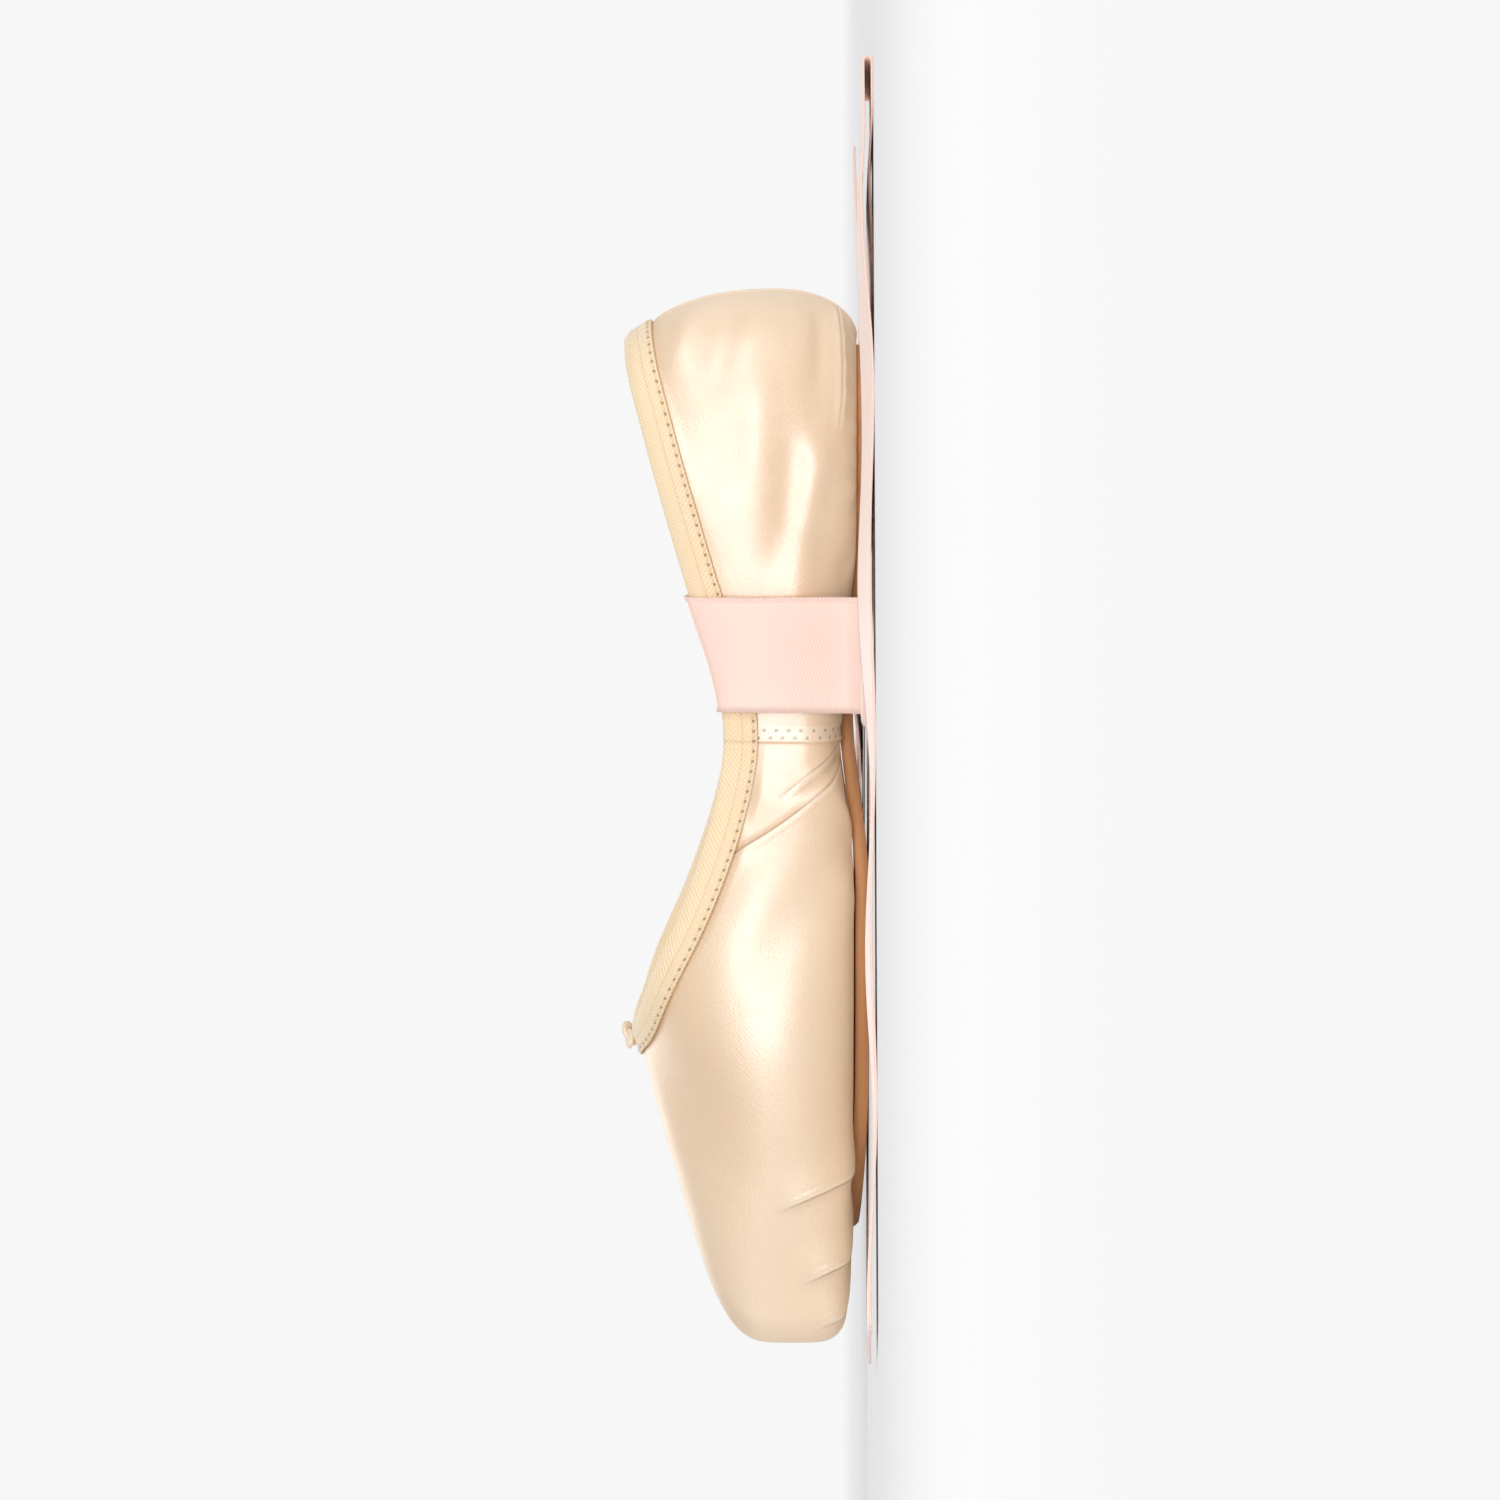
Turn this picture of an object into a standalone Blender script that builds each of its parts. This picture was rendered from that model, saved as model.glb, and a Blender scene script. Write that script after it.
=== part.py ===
"""Pointe shoe with its two ribbons, standing on its sole at z = 0. Metres, toe towards +X, +Z up."""

import math
from collections import namedtuple

import bmesh
import bpy
import numpy as np

# Sizes of the shoe. Each can be set by itself.
LENGTH = 0.230
BALL_WIDTH = 0.081
WAIST_WIDTH = 0.054
HEEL_WIDTH = 0.057
HEEL_BULGE = 0.030
PLATFORM_WIDTH = 0.044
PLATFORM_CORNER = 0.007
PLATFORM_HEIGHT = 0.031
THROAT_HEIGHT = 0.051
SIDE_HEIGHT = 0.030
HEEL_HEIGHT = 0.052
VAMP_LENGTH = 0.068
BOX_LENGTH = 0.095
SEAM_FROM_TOE = 0.133

# Walls, and the clearance that meeting pieces keep.
BOX_WALL = 0.0025
QUARTER_WALL = 0.0012
SEAM_STEP = 0.0005
SEAM_SLOPE = 0.0006
CLEARANCE = 0.0003
TAPE_CLEARANCE = 0.0004
LASTING_MARGIN = 0.008

# Outsole and insole.
SOLE_THICKNESS = 0.0030
SOLE_SKIVE = 0.0012
SOLE_HEEL_WIDTH = 0.034
SOLE_WAIST_WIDTH = 0.027
SOLE_TREAD_WIDTH = 0.049
SOLE_HEEL_INSET = 0.012
SOLE_TIP_INSET = 0.023
SOLE_TIP_LENGTH = 0.034
ARCH_RISE = 0.0035
TOE_SPRING = 0.0045
INSOLE_THICKNESS = 0.0020
INSOLE_LAP = 0.0030

# Edge tape round the collar, the drawstring's knot and the ribbons.
TAPE_THICKNESS = 0.0008
TAPE_OUTSIDE = 0.0065
TAPE_INSIDE = 0.0045
KNOT_CORD = 0.0011
KNOT_LOOP = 0.0011
KNOT_DROP = 0.0022
RIBBON_WIDTH = 0.025
RIBBON_LENGTH = 0.500
RIBBON_THICKNESS = 0.0005
RIBBON_FROM_SEAM = 0.019
RIBBON_SEWN = 0.016
RIBBON_BEND = 0.006
RIBBON_CLEARANCE = 0.0006

BACK = -LENGTH / 2
TIP = LENGTH / 2
HEEL_PIVOT = BACK + HEEL_BULGE
TOE_PIVOT = TIP - BOX_LENGTH
BOX_START = TIP - VAMP_LENGTH
SEAM = TIP - SEAM_FROM_TOE
RIBBON_MIDDLE = SEAM - RIBBON_FROM_SEAM
BOTTOM = SOLE_THICKNESS + CLEARANCE

# Stations of the last: place as a share of the length from the heel, then the full width, the height of
# the widest line, and the height of the ridge that the wall would close to over the foot.
Station = namedtuple("Station", "at width widest ridge")
LAST = (
    Station(0.000, 0.90 * HEEL_WIDTH, 0.42 * HEEL_HEIGHT, 1.14 * HEEL_HEIGHT),
    Station(0.130, 1.00 * HEEL_WIDTH, 0.46 * HEEL_HEIGHT, 1.25 * HEEL_HEIGHT),
    Station(0.280, 1.03 * WAIST_WIDTH, 0.37 * HEEL_HEIGHT, 1.13 * HEEL_HEIGHT),
    Station(0.410, 1.00 * WAIST_WIDTH, 0.48 * SIDE_HEIGHT, 1.80 * SIDE_HEIGHT),
    Station(0.500, 0.77 * BALL_WIDTH, 0.54 * SIDE_HEIGHT, 1.10 * THROAT_HEIGHT),
    Station(0.587, 0.91 * BALL_WIDTH, 0.36 * THROAT_HEIGHT, 1.13 * THROAT_HEIGHT),
    Station(0.700, 1.00 * BALL_WIDTH, 0.39 * THROAT_HEIGHT, 1.00 * THROAT_HEIGHT),
    Station(0.850, 0.81 * BALL_WIDTH, 0.36 * THROAT_HEIGHT, 0.81 * THROAT_HEIGHT),
    Station(0.957, 1.15 * PLATFORM_WIDTH, 0.56 * PLATFORM_HEIGHT, 1.10 * PLATFORM_HEIGHT),
    Station(1.000, 1.00 * PLATFORM_WIDTH, 0.56 * PLATFORM_HEIGHT, 1.00 * PLATFORM_HEIGHT),
)

# Height of the collar behind the vamp's pivot.
Rim = namedtuple("Rim", "at height")
COLLAR = (
    Rim(0.000, 1.00 * HEEL_HEIGHT),
    Rim(0.050, 0.99 * HEEL_HEIGHT),
    Rim(0.130, 0.92 * HEEL_HEIGHT),
    Rim(0.260, 0.76 * HEEL_HEIGHT),
    Rim(0.420, 1.00 * SIDE_HEIGHT),
    Rim(0.500, 0.655 * THROAT_HEIGHT),
    Rim(0.587, 0.790 * THROAT_HEIGHT),
)

# Full width of the outsole between its round heel and its tip.
Tread = namedtuple("Tread", "at width")
SOLE = (
    Tread(0.126, 1.00 * SOLE_HEEL_WIDTH),
    Tread(0.220, 0.90 * SOLE_HEEL_WIDTH),
    Tread(0.370, 1.00 * SOLE_WAIST_WIDTH),
    Tread(0.500, 0.78 * SOLE_TREAD_WIDTH),
    Tread(0.640, 1.00 * SOLE_TREAD_WIDTH),
    Tread(0.740, 0.93 * SOLE_TREAD_WIDTH),
)

# Ends of the flat spots that the sole stands on, as shares of the length.
HEEL_FLAT_END = 0.217
TREAD_FLAT_START = 0.565
TREAD_FLAT_END = 0.740

# Roundness of the sections: 2 is an ellipse, more is boxier. The box is squarest straight ahead.
SIDE_ROUND = 2.3
BOX_ROUND = 16.0
BOX_TURN = 20
CROWN_ROUND = 2.0
BOX_CROWN = 4.5
CROWN_TURN = 12
LOWER_ROUND = 2.2
BOX_LOWER = 6.0
LOWER_TURN = 8
HEEL_PLAN_ROUND = 2.25

# Columns of the mesh from the heel's back to the toe, and its rows from the sole's edge up.
HEEL_COLUMNS = 8
QUARTER_COLUMNS = 7
WAIST_COLUMNS = 4
BOX_COLUMNS = 18
SOLE_ROWS = (0, 0.5, 0.72, 0.87, 1)
INSOLE_ROWS = (0, 0.5, 0.72, 0.87, 1)
LOWER_ROWS = 5
UPPER_ROWS = 9
BEND_WEIGHT = 0.012
FINE = 40

# The ribbons on the floor: straight runs, each ended by a flat fold that turns the ribbon by this many degrees,
# to the left seen from above. The last run is as long as the ribbon lets it be.
Run = namedtuple("Run", "length turn")
LEFT_RUNS = (Run(0.080 * RIBBON_LENGTH, 102), Run(0.244 * RIBBON_LENGTH, -166), Run(None, 0))
RIGHT_RUNS = (Run(0.092 * RIBBON_LENGTH, -98), Run(0.248 * RIBBON_LENGTH, 160), Run(None, 0))
FOLD_RADIUS = 0.0009
FOLD_ROWS = 6
FALL_LENGTH = 0.018
RUN_STEP = 0.020
FINE_STEP = 0.001
RIBBON_STATIONS = 3


def place(share):
    return BACK + share * LENGTH


def smooth(table, column, x):
    """The column's value at x, on a cubic curve through the table's rows."""
    at = np.array([place(row.at) for row in table])
    value = np.array([getattr(row, column) for row in table])
    slope = np.gradient(value, at)
    x = min(max(x, at[0]), at[-1])
    i = min(int(np.searchsorted(at, x, side="right")) - 1, len(at) - 2)
    span = at[i + 1] - at[i]
    u = (x - at[i]) / span
    rise = value[i + 1] - value[i]
    first = slope[i] * span - rise
    last = rise - slope[i + 1] * span
    return value[i] + u * rise + u * (1 - u) * ((1 - u) * first + u * last)


def lift(x):
    """How far the sole's line is off the floor: an arch at the waist and a spring at the toe."""
    u = (x - place(HEEL_FLAT_END)) / (place(TREAD_FLAT_START) - place(HEEL_FLAT_END))
    arch = ARCH_RISE * math.sin(math.pi * min(max(u, 0), 1)) ** 2
    v = max(x - place(TREAD_FLAT_END), 0) / (TIP - place(TREAD_FLAT_END))
    return arch + TOE_SPRING * v**1.6


def power(value, exponent):
    return max(value, 0.0) ** exponent


def last_outline():
    """Half of the widest line in plan, from the heel's back to the middle of the platform."""
    points = []
    for i in range(FINE):
        a = math.pi / 2 * i / FINE
        points.append(
            (
                HEEL_PIVOT - (HEEL_BULGE - SEAM_STEP) * power(math.cos(a), 2 / HEEL_PLAN_ROUND),
                HEEL_WIDTH / 2 * power(math.sin(a), 2 / HEEL_PLAN_ROUND),
            )
        )
    corner = TIP - PLATFORM_CORNER
    points += [(x, smooth(LAST, "width", x) / 2) for x in np.linspace(HEEL_PIVOT, corner, 3 * FINE)]
    turn = points[-1][1] - PLATFORM_CORNER
    for i in range(1, FINE // 2 + 1):
        a = math.pi / FINE * i
        points.append((corner + PLATFORM_CORNER * math.sin(a), turn + PLATFORM_CORNER * math.cos(a)))
    points += [(TIP, turn * (1 - i / 10)) for i in range(1, 11)]
    return np.array(points)


def sole_outline():
    """Half of the outsole's edge in plan, from its heel to its tip."""
    heel_end = BACK + SOLE_HEEL_INSET
    round_end = heel_end + SOLE_HEEL_WIDTH / 2
    tip_end = TIP - SOLE_TIP_INSET
    tip_start = tip_end - SOLE_TIP_LENGTH
    points = []
    for i in range(FINE):
        a = math.pi / 2 * i / FINE
        points.append((round_end - SOLE_HEEL_WIDTH / 2 * math.cos(a), SOLE_HEEL_WIDTH / 2 * math.sin(a)))
    points += [(x, smooth(SOLE, "width", x) / 2) for x in np.linspace(round_end, tip_start, 2 * FINE)]
    start = points[-1][1]
    for i in range(1, FINE):
        a = math.pi / 2 * i / FINE
        points.append((tip_start + SOLE_TIP_LENGTH * math.sin(a), start * math.cos(a)))
    points.append((tip_end, 0.0))
    return np.array(points)


LAST_OUTLINE = last_outline()
SOLE_OUTLINE = sole_outline()


def reach(outline, pivot, towards):
    """How far the line from pivot through towards runs before it crosses the outline."""
    along = (towards - pivot) / np.linalg.norm(towards - pivot)
    across = np.array([-along[1], along[0]])
    side = (outline - pivot) @ across
    ahead = (outline - pivot) @ along
    found = []
    for i in range(len(outline) - 1):
        if side[i] * side[i + 1] > 0 or side[i] == side[i + 1]:
            continue
        u = side[i] / (side[i] - side[i + 1])
        found.append(ahead[i] + u * (ahead[i + 1] - ahead[i]))
    return max(found)


def resampled(points, shares):
    """Points at these shares of the polyline's length."""
    run = np.concatenate([[0], np.cumsum(np.linalg.norm(np.diff(points, axis=0), axis=1))])
    want = np.asarray(shares) * run[-1]
    return np.stack([np.interp(want, run, points[:, k]) for k in range(points.shape[1])], axis=1)


def column_points():
    """Where each column of the half meets the widest line, closer together where it bends."""
    steps = np.diff(LAST_OUTLINE, axis=0)
    heading = np.unwrap(np.arctan2(steps[:, 1], steps[:, 0]))
    turning = np.concatenate([[0], np.abs(np.diff(heading))])
    run = np.concatenate([[0], np.cumsum(np.linalg.norm(steps, axis=1) + BEND_WEIGHT * turning)])

    def at(x):
        return np.interp(x, LAST_OUTLINE[:-12, 0], run[:-12])

    stops = [0, at(HEEL_PIVOT), at(SEAM - SEAM_SLOPE / 2), at(SEAM + SEAM_SLOPE / 2), at(TOE_PIVOT), run[-1]]
    counts = [HEEL_COLUMNS, QUARTER_COLUMNS, 1, WAIST_COLUMNS, BOX_COLUMNS]
    want = [0.0]
    for start, end, count in zip(stops, stops[1:], counts):
        want += [start + (end - start) * i / count for i in range(1, count + 1)]
    return np.stack([np.interp(want, run, LAST_OUTLINE[:, k]) for k in range(2)], axis=1)


class Column:
    """One upright section of the upper, in the plane from a pivot on the middle line to the widest line."""

    def __init__(self, widest):
        self.widest = np.array(widest)
        self.pivot = np.array([min(max(widest[0], HEEL_PIVOT), TOE_PIVOT), 0.0])
        self.radius = np.linalg.norm(self.widest - self.pivot)
        self.out = (self.widest - self.pivot) / self.radius
        ahead = self.out[0] if self.widest[0] > TOE_PIVOT else 0.0
        self.round = SIDE_ROUND + (BOX_ROUND - SIDE_ROUND) * ahead**BOX_TURN
        self.crown = CROWN_ROUND + (BOX_CROWN - CROWN_ROUND) * ahead**CROWN_TURN
        self.lower = LOWER_ROUND + (BOX_LOWER - LOWER_ROUND) * ahead**LOWER_TURN
        self.height = smooth(LAST, "widest", self.widest[0])
        self.sole_edge = reach(SOLE_OUTLINE, self.pivot, self.widest)
        self.rim = self.rim_share(ahead)
        self.step = SEAM_STEP * (1 - step(self.widest[0], SEAM - SEAM_SLOPE / 2, SEAM + SEAM_SLOPE / 2))

    def rim_share(self, ahead):
        """Where the collar cuts the section, as a share of the way out to the widest line."""
        if self.widest[0] > TOE_PIVOT:
            pivot_column = Column((TOE_PIVOT, smooth(LAST, "width", TOE_PIVOT) / 2))
            beside = pivot_column.rim * pivot_column.radius
            front = BOX_START - TOE_PIVOT
            return (beside + (front - beside) * ahead**2) / self.radius
        ridge = smooth(LAST, "ridge", self.widest[0])
        height = smooth(COLLAR, "height", self.widest[0])
        return (1 - ((height - self.height) / (ridge - self.height)) ** self.crown) ** (1 / self.round)

    def at(self, distance, height):
        plan = self.pivot + self.out * distance
        return (plan[0], plan[1], height)

    def bottom(self, distance):
        return BOTTOM + lift(self.pivot[0] + self.out[0] * distance)

    def margin(self):
        inner = self.sole_edge - LASTING_MARGIN
        return [self.at(d, self.bottom(d)) for d in (inner, self.sole_edge)]

    def below(self):
        """From the sole's edge out and up to the widest line."""
        start = self.bottom(self.sole_edge)
        points = []
        for i in range(FINE + 1):
            a = math.pi / 2 * i / FINE
            out = power(math.sin(a), 2 / self.lower)
            up = 1 - power(math.cos(a), 2 / self.lower)
            points.append(
                self.at(self.sole_edge + (self.radius - self.sole_edge) * out, start + (self.height - start) * up)
            )
        return points

    def above(self):
        """From the widest line in and up to the collar."""
        points = []
        for i in range(2 * FINE + 1):
            share = self.rim + (1 - self.rim) * math.cos(math.pi / 2 * i / (2 * FINE))
            distance = share * self.radius
            x = self.pivot[0] + self.out[0] * distance
            ridge = smooth(LAST, "ridge", x if self.widest[0] > TOE_PIVOT else self.widest[0])
            rise = power(1 - share**self.round, 1 / self.crown)
            points.append(self.at(distance, self.height + (ridge - self.height) * rise))
        return points

    def rows(self):
        lower = resampled(np.array(self.below()), np.linspace(0, 1, LOWER_ROWS + 1))
        upper = resampled(np.array(self.above()), np.linspace(0, 1, UPPER_ROWS + 1))
        return np.concatenate([self.margin()[:1], lower, upper[1:]])

    def from_rim(self, drops):
        """Points on the section these lengths below the collar."""
        points = np.array(self.above())[::-1]
        length = np.linalg.norm(np.diff(points, axis=0), axis=1).sum()
        return resampled(points, np.array(drops) / length)


def step(x, start, end):
    u = np.clip((x - start) / (end - start), 0, 1)
    return u * u * (3 - 2 * u)


def wall_at(x):
    """The upper's thickness: one soft layer round the quarters, stiff and thick in the box."""
    return QUARTER_WALL + (BOX_WALL - QUARTER_WALL) * step(x, SEAM, BOX_START)


def both_sides(half):
    """Goes round the whole shoe: the half's columns, then their mirror images back to the heel."""
    mirrored = half[-2:0:-1] * np.array([1, -1, 1])
    return np.concatenate([half, mirrored])


def both_values(half):
    return np.concatenate([half, half[-2:0:-1]])


def normals_of(grid, closed):
    """Outward normals of a grid of points, columns by rows."""
    if closed:
        along = np.roll(grid, -1, axis=0) - np.roll(grid, 1, axis=0)
    else:
        along = np.gradient(grid, axis=0)
    across = np.gradient(grid, axis=1)
    normal = np.cross(across, along)
    return normal / np.linalg.norm(normal, axis=2, keepdims=True)


def material(name, colour, roughness):
    made = bpy.data.materials.new(name)
    made.use_nodes = True
    shader = made.node_tree.nodes["Principled BSDF"]
    shader.inputs["Base Color"].default_value = (*colour, 1)
    shader.inputs["Roughness"].default_value = roughness
    shader.inputs["Metallic"].default_value = 0
    return made


def add_object(name, bm, finish):
    bmesh.ops.remove_doubles(bm, verts=bm.verts[:], dist=1e-6)
    bmesh.ops.recalc_face_normals(bm, faces=bm.faces[:])
    if bm.calc_volume(signed=True) < 0:
        bmesh.ops.reverse_faces(bm, faces=bm.faces[:])
    mesh = bpy.data.meshes.new(name)
    bm.to_mesh(mesh)
    bm.free()
    mesh.materials.append(finish)
    mesh.shade_smooth()
    mesh.set_sharp_from_angle(angle=math.radians(40))
    made = bpy.data.objects.new(name, mesh)
    bpy.context.collection.objects.link(made)
    return made


def add_shell(name, outer, inner, closed, rims, finish):
    """A wall between two grids of points, joined along its open edges. rims says which ends of the rows are open."""
    bm = bmesh.new()
    columns, rows = outer.shape[:2]
    front = [[bm.verts.new(p) for p in column] for column in outer]
    back = [[bm.verts.new(p) for p in column] for column in inner]
    around = range(columns if closed else columns - 1)
    for c in around:
        d = (c + 1) % columns
        for r in range(rows - 1):
            bm.faces.new((front[c][r], front[c][r + 1], front[d][r + 1], front[d][r]))
            bm.faces.new((back[c][r], back[d][r], back[d][r + 1], back[c][r + 1]))
        for r in rims:
            bm.faces.new((front[c][r], front[d][r], back[d][r], back[c][r]))
    if not closed:
        for c in (0, -1):
            for r in range(rows - 1):
                bm.faces.new((front[c][r], back[c][r], back[c][r + 1], front[c][r + 1]))
    return add_object(name, bm, finish)


def add_ring(name, grid, finish):
    """A closed section carried round a closed path."""
    bm = bmesh.new()
    columns, rows = grid.shape[:2]
    verts = [[bm.verts.new(p) for p in column] for column in grid]
    for c in range(columns):
        d = (c + 1) % columns
        for r in range(rows):
            s = (r + 1) % rows
            bm.faces.new((verts[c][r], verts[c][s], verts[d][s], verts[d][r]))
    return add_object(name, bm, finish)


def add_upper(columns, finish):
    base = both_sides(np.array([column.rows() for column in columns]))
    normal = normals_of(base, closed=True)
    proud = both_values(np.array([column.step for column in columns]))
    rise = np.array([0, 0] + [1] * (LOWER_ROWS + UPPER_ROWS))
    outer = base + normal * (proud[:, None] * rise[None, :])[:, :, None]
    inner = base - normal * wall_at(base[:, :, :1])
    add_shell("upper", outer, inner, True, (0, -1), finish)
    return inner


def add_outsole(columns, finish):
    """A flat leather sole, its lower edge skived, that follows the shoe's arch and toe spring."""
    bottom = []
    top = []
    for column in columns:
        edge = column.sole_edge
        flat = [share * (edge - SOLE_SKIVE) for share in SOLE_ROWS]
        low = [(d, 0) for d in flat] + [(edge, SOLE_SKIVE)]
        high = [(d, SOLE_THICKNESS) for d in flat] + [(edge, SOLE_THICKNESS)]
        for points, rows in ((low, bottom), (high, top)):
            rows.append([column.at(d, z + lift(column.pivot[0] + column.out[0] * d)) for d, z in points])
    return add_shell("outsole", both_sides(np.array(top)), both_sides(np.array(bottom)), True, (-1,), finish)


def add_insole(columns, inner, finish):
    """A thin footbed, dished up at its edge as the inside of the upper is."""
    under = []
    over = []
    for column, wall in zip(columns, inner):
        distance = (wall[:, :2] - column.pivot) @ column.out
        wall = wall[: LOWER_ROWS + 2]
        distance = distance[: LOWER_ROWS + 2]
        edge = column.sole_edge
        rows = []
        for d in [share * edge for share in INSOLE_ROWS] + [edge + INSOLE_LAP / 2, edge + INSOLE_LAP]:
            x = column.pivot[0] + column.out[0] * d
            flat = BOTTOM + wall_at(x) + lift(x)
            height = max(flat, np.interp(d, distance, wall[:, 2])) + 2 * CLEARANCE
            rows.append(column.at(d, height))
        under.append(rows)
        over.append([(x, y, z + INSOLE_THICKNESS) for x, y, z in rows])
    return add_shell("insole", both_sides(np.array(over)), both_sides(np.array(under)), True, (-1,), finish)


def over_rim(points, normal, inside, outside, proud):
    """Up the inside of the wall, over the collar and down the outside, proud of each face by the same amount.

    points and normal run from the collar downwards; inside and outside are how many of them each side takes."""
    up = points[0] - points[1]
    up /= np.linalg.norm(up)
    inner, outer = proud[0], proud[1]
    middle = points[0] + normal[0] * (outer - inner) / 2
    half = (outer + inner) / 2
    path = [points[i] - normal[i] * inner for i in range(inside - 1, 0, -1)]
    for i in range(7):
        a = math.pi * i / 6
        path.append(middle - normal[0] * half * math.cos(a) + up * proud[2] * math.sin(a))
    path += [points[i] + normal[i] * outer for i in range(1, outside)]
    return path


def add_binding(columns, finish):
    """The folded edge tape: a U of one thickness that straddles the collar."""
    drops = (0, TAPE_INSIDE * 0.5, TAPE_INSIDE, TAPE_OUTSIDE)
    half = np.array([column.from_rim(drops) for column in columns])
    points = both_sides(half)
    normal = -normals_of(points, closed=True)
    proud = both_values(np.array([column.step for column in columns]))
    grid = []
    for c in range(len(points)):
        wall = wall_at(points[c][0][0])
        skins = []
        for off in (TAPE_CLEARANCE + TAPE_THICKNESS, TAPE_CLEARANCE):
            skins.append(over_rim(points[c], normal[c], 3, 4, (wall + off, proud[c] + off, off)))
        grid.append(skins[0] + skins[1][::-1])
    return add_ring("collar_binding", np.array(grid), finish)


def add_knot(columns, finish):
    """The drawstring's small knot, on the tape at the middle of the throat."""
    front = columns[-1]
    rim, below = front.from_rim((0, 2 * KNOT_DROP))
    down = (below - rim) / np.linalg.norm(below - rim)
    across = np.array([0.0, 1.0, 0.0])
    off = np.cross(down, across)
    off *= np.sign(off[2])
    rise = front.step + TAPE_CLEARANCE + TAPE_THICKNESS + CLEARANCE + KNOT_CORD / 2 + KNOT_LOOP * 0.9
    middle = rim + down * KNOT_DROP + off * rise
    curve = bpy.data.curves.new("drawstring_knot", "CURVE")
    curve.dimensions = "3D"
    curve.bevel_depth = KNOT_CORD / 2
    curve.bevel_resolution = 1
    spline = curve.splines.new("POLY")
    count = 36
    spline.points.add(count - 1)
    for i, point in enumerate(spline.points):
        a = 2 * math.pi * i / count
        place_on = (
            middle
            + across * KNOT_LOOP * (math.sin(a) + 2 * math.sin(2 * a))
            + down * KNOT_LOOP * 0.75 * (math.cos(a) - 2 * math.cos(2 * a))
            - off * KNOT_LOOP * 0.9 * math.sin(3 * a)
        )
        point.co = (*place_on, 1)
    spline.use_cyclic_u = True
    curve.materials.append(finish)
    made = bpy.data.objects.new("drawstring_knot", curve)
    bpy.context.collection.objects.link(made)
    return made


def drop_from_collar(x):
    """The ribbon's line in the section at x, from where it is sewn inside to where it reaches the floor."""
    column = Column((x, smooth(LAST, "width", x) / 2))
    near = Column((x + FINE_STEP, smooth(LAST, "width", x + FINE_STEP) / 2))
    drops = np.array([0, 0.25, 0.5, 0.75, 1]) * RIBBON_SEWN
    pair = np.array([column.from_rim(drops), near.from_rim(drops)])
    normal = -normals_of(pair, closed=False)[0]
    off = TAPE_CLEARANCE + TAPE_THICKNESS + RIBBON_CLEARANCE + RIBBON_THICKNESS / 2
    path = over_rim(pair[0], normal, 5, 5, (wall_at(x) + off, SEAM_STEP + off, off))
    side = max(path[-1][1], column.radius + SEAM_STEP + off)
    low = RIBBON_THICKNESS / 2 + RIBBON_BEND
    path.append(np.array([x, side, (path[-1][2] + low) / 2]))
    for i in range(4):
        a = math.pi / 2 * i / 3
        path.append(np.array([x, side + RIBBON_BEND * (1 - math.cos(a)), low - RIBBON_BEND * math.sin(a)]))
    return np.array(path)


def folded_runs(runs, length, start, across):
    """Rows of points of a ribbon that lies flat, from start, heading +Y, with flat folds between its runs.

    A fold rolls the ribbon over a line through its middle at half the turn, so its length and width stay
    true. The rows slant to lie along each fold. A run falls to the floor where it leaves the run below."""
    rows = []
    origin = np.array(start)
    heading = math.pi / 2
    hand = -1
    slant = 0.0
    below = None
    level = RIBBON_THICKNESS / 2
    for run in runs:
        run_length = run.length or length
        turn = math.radians(run.turn)
        along = np.array([math.cos(heading), math.sin(heading)])
        left = np.array([-along[1], along[0]])
        ahead = np.sign(turn) * np.array([math.sin(turn / 2), -math.cos(turn / 2)]) if turn else None
        next_slant = -hand * ahead[1] / ahead[0] if turn else 0.0
        count = max(math.ceil(run_length / RUN_STEP), 2)
        for i in range(1, count + 1):
            share = i / count
            row = []
            for v in across:
                a = run_length * share + (slant + (next_slant - slant) * share) * v
                spot = origin + along * a + left * hand * v
                height = level
                if below is not None:
                    apart = abs((spot - below[0]) @ below[1]) - RIBBON_WIDTH / 2
                    height += 2 * FOLD_RADIUS * (1 - step(apart, 0, FALL_LENGTH))
                row.append((spot[0], spot[1], height))
            rows.append(row)
        if not turn:
            break
        line = np.array([math.cos(turn / 2), math.sin(turn / 2)])
        corner = origin + along * run_length
        for i in range(1, FOLD_ROWS + 1):
            rolled = math.pi * FOLD_RADIUS * i / FOLD_ROWS
            row = []
            for v in across:
                b = hand * v
                a = (rolled - b * ahead[1]) / ahead[0]
                flat = (a * line[0] + b * line[1]) * line + FOLD_RADIUS * math.sin(rolled / FOLD_RADIUS) * ahead
                spot = corner + along * flat[0] + left * flat[1]
                row.append((spot[0], spot[1], level + FOLD_RADIUS * (1 - math.cos(rolled / FOLD_RADIUS))))
            rows.append(row)
        rolled = math.pi * FOLD_RADIUS / ahead[0]
        origin = corner + along * rolled * line[0] * line[0] + left * rolled * line[0] * line[1]
        length -= run_length + rolled
        below = (corner, left)
        heading += turn
        hand = -hand
        slant = next_slant
    return rows


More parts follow.
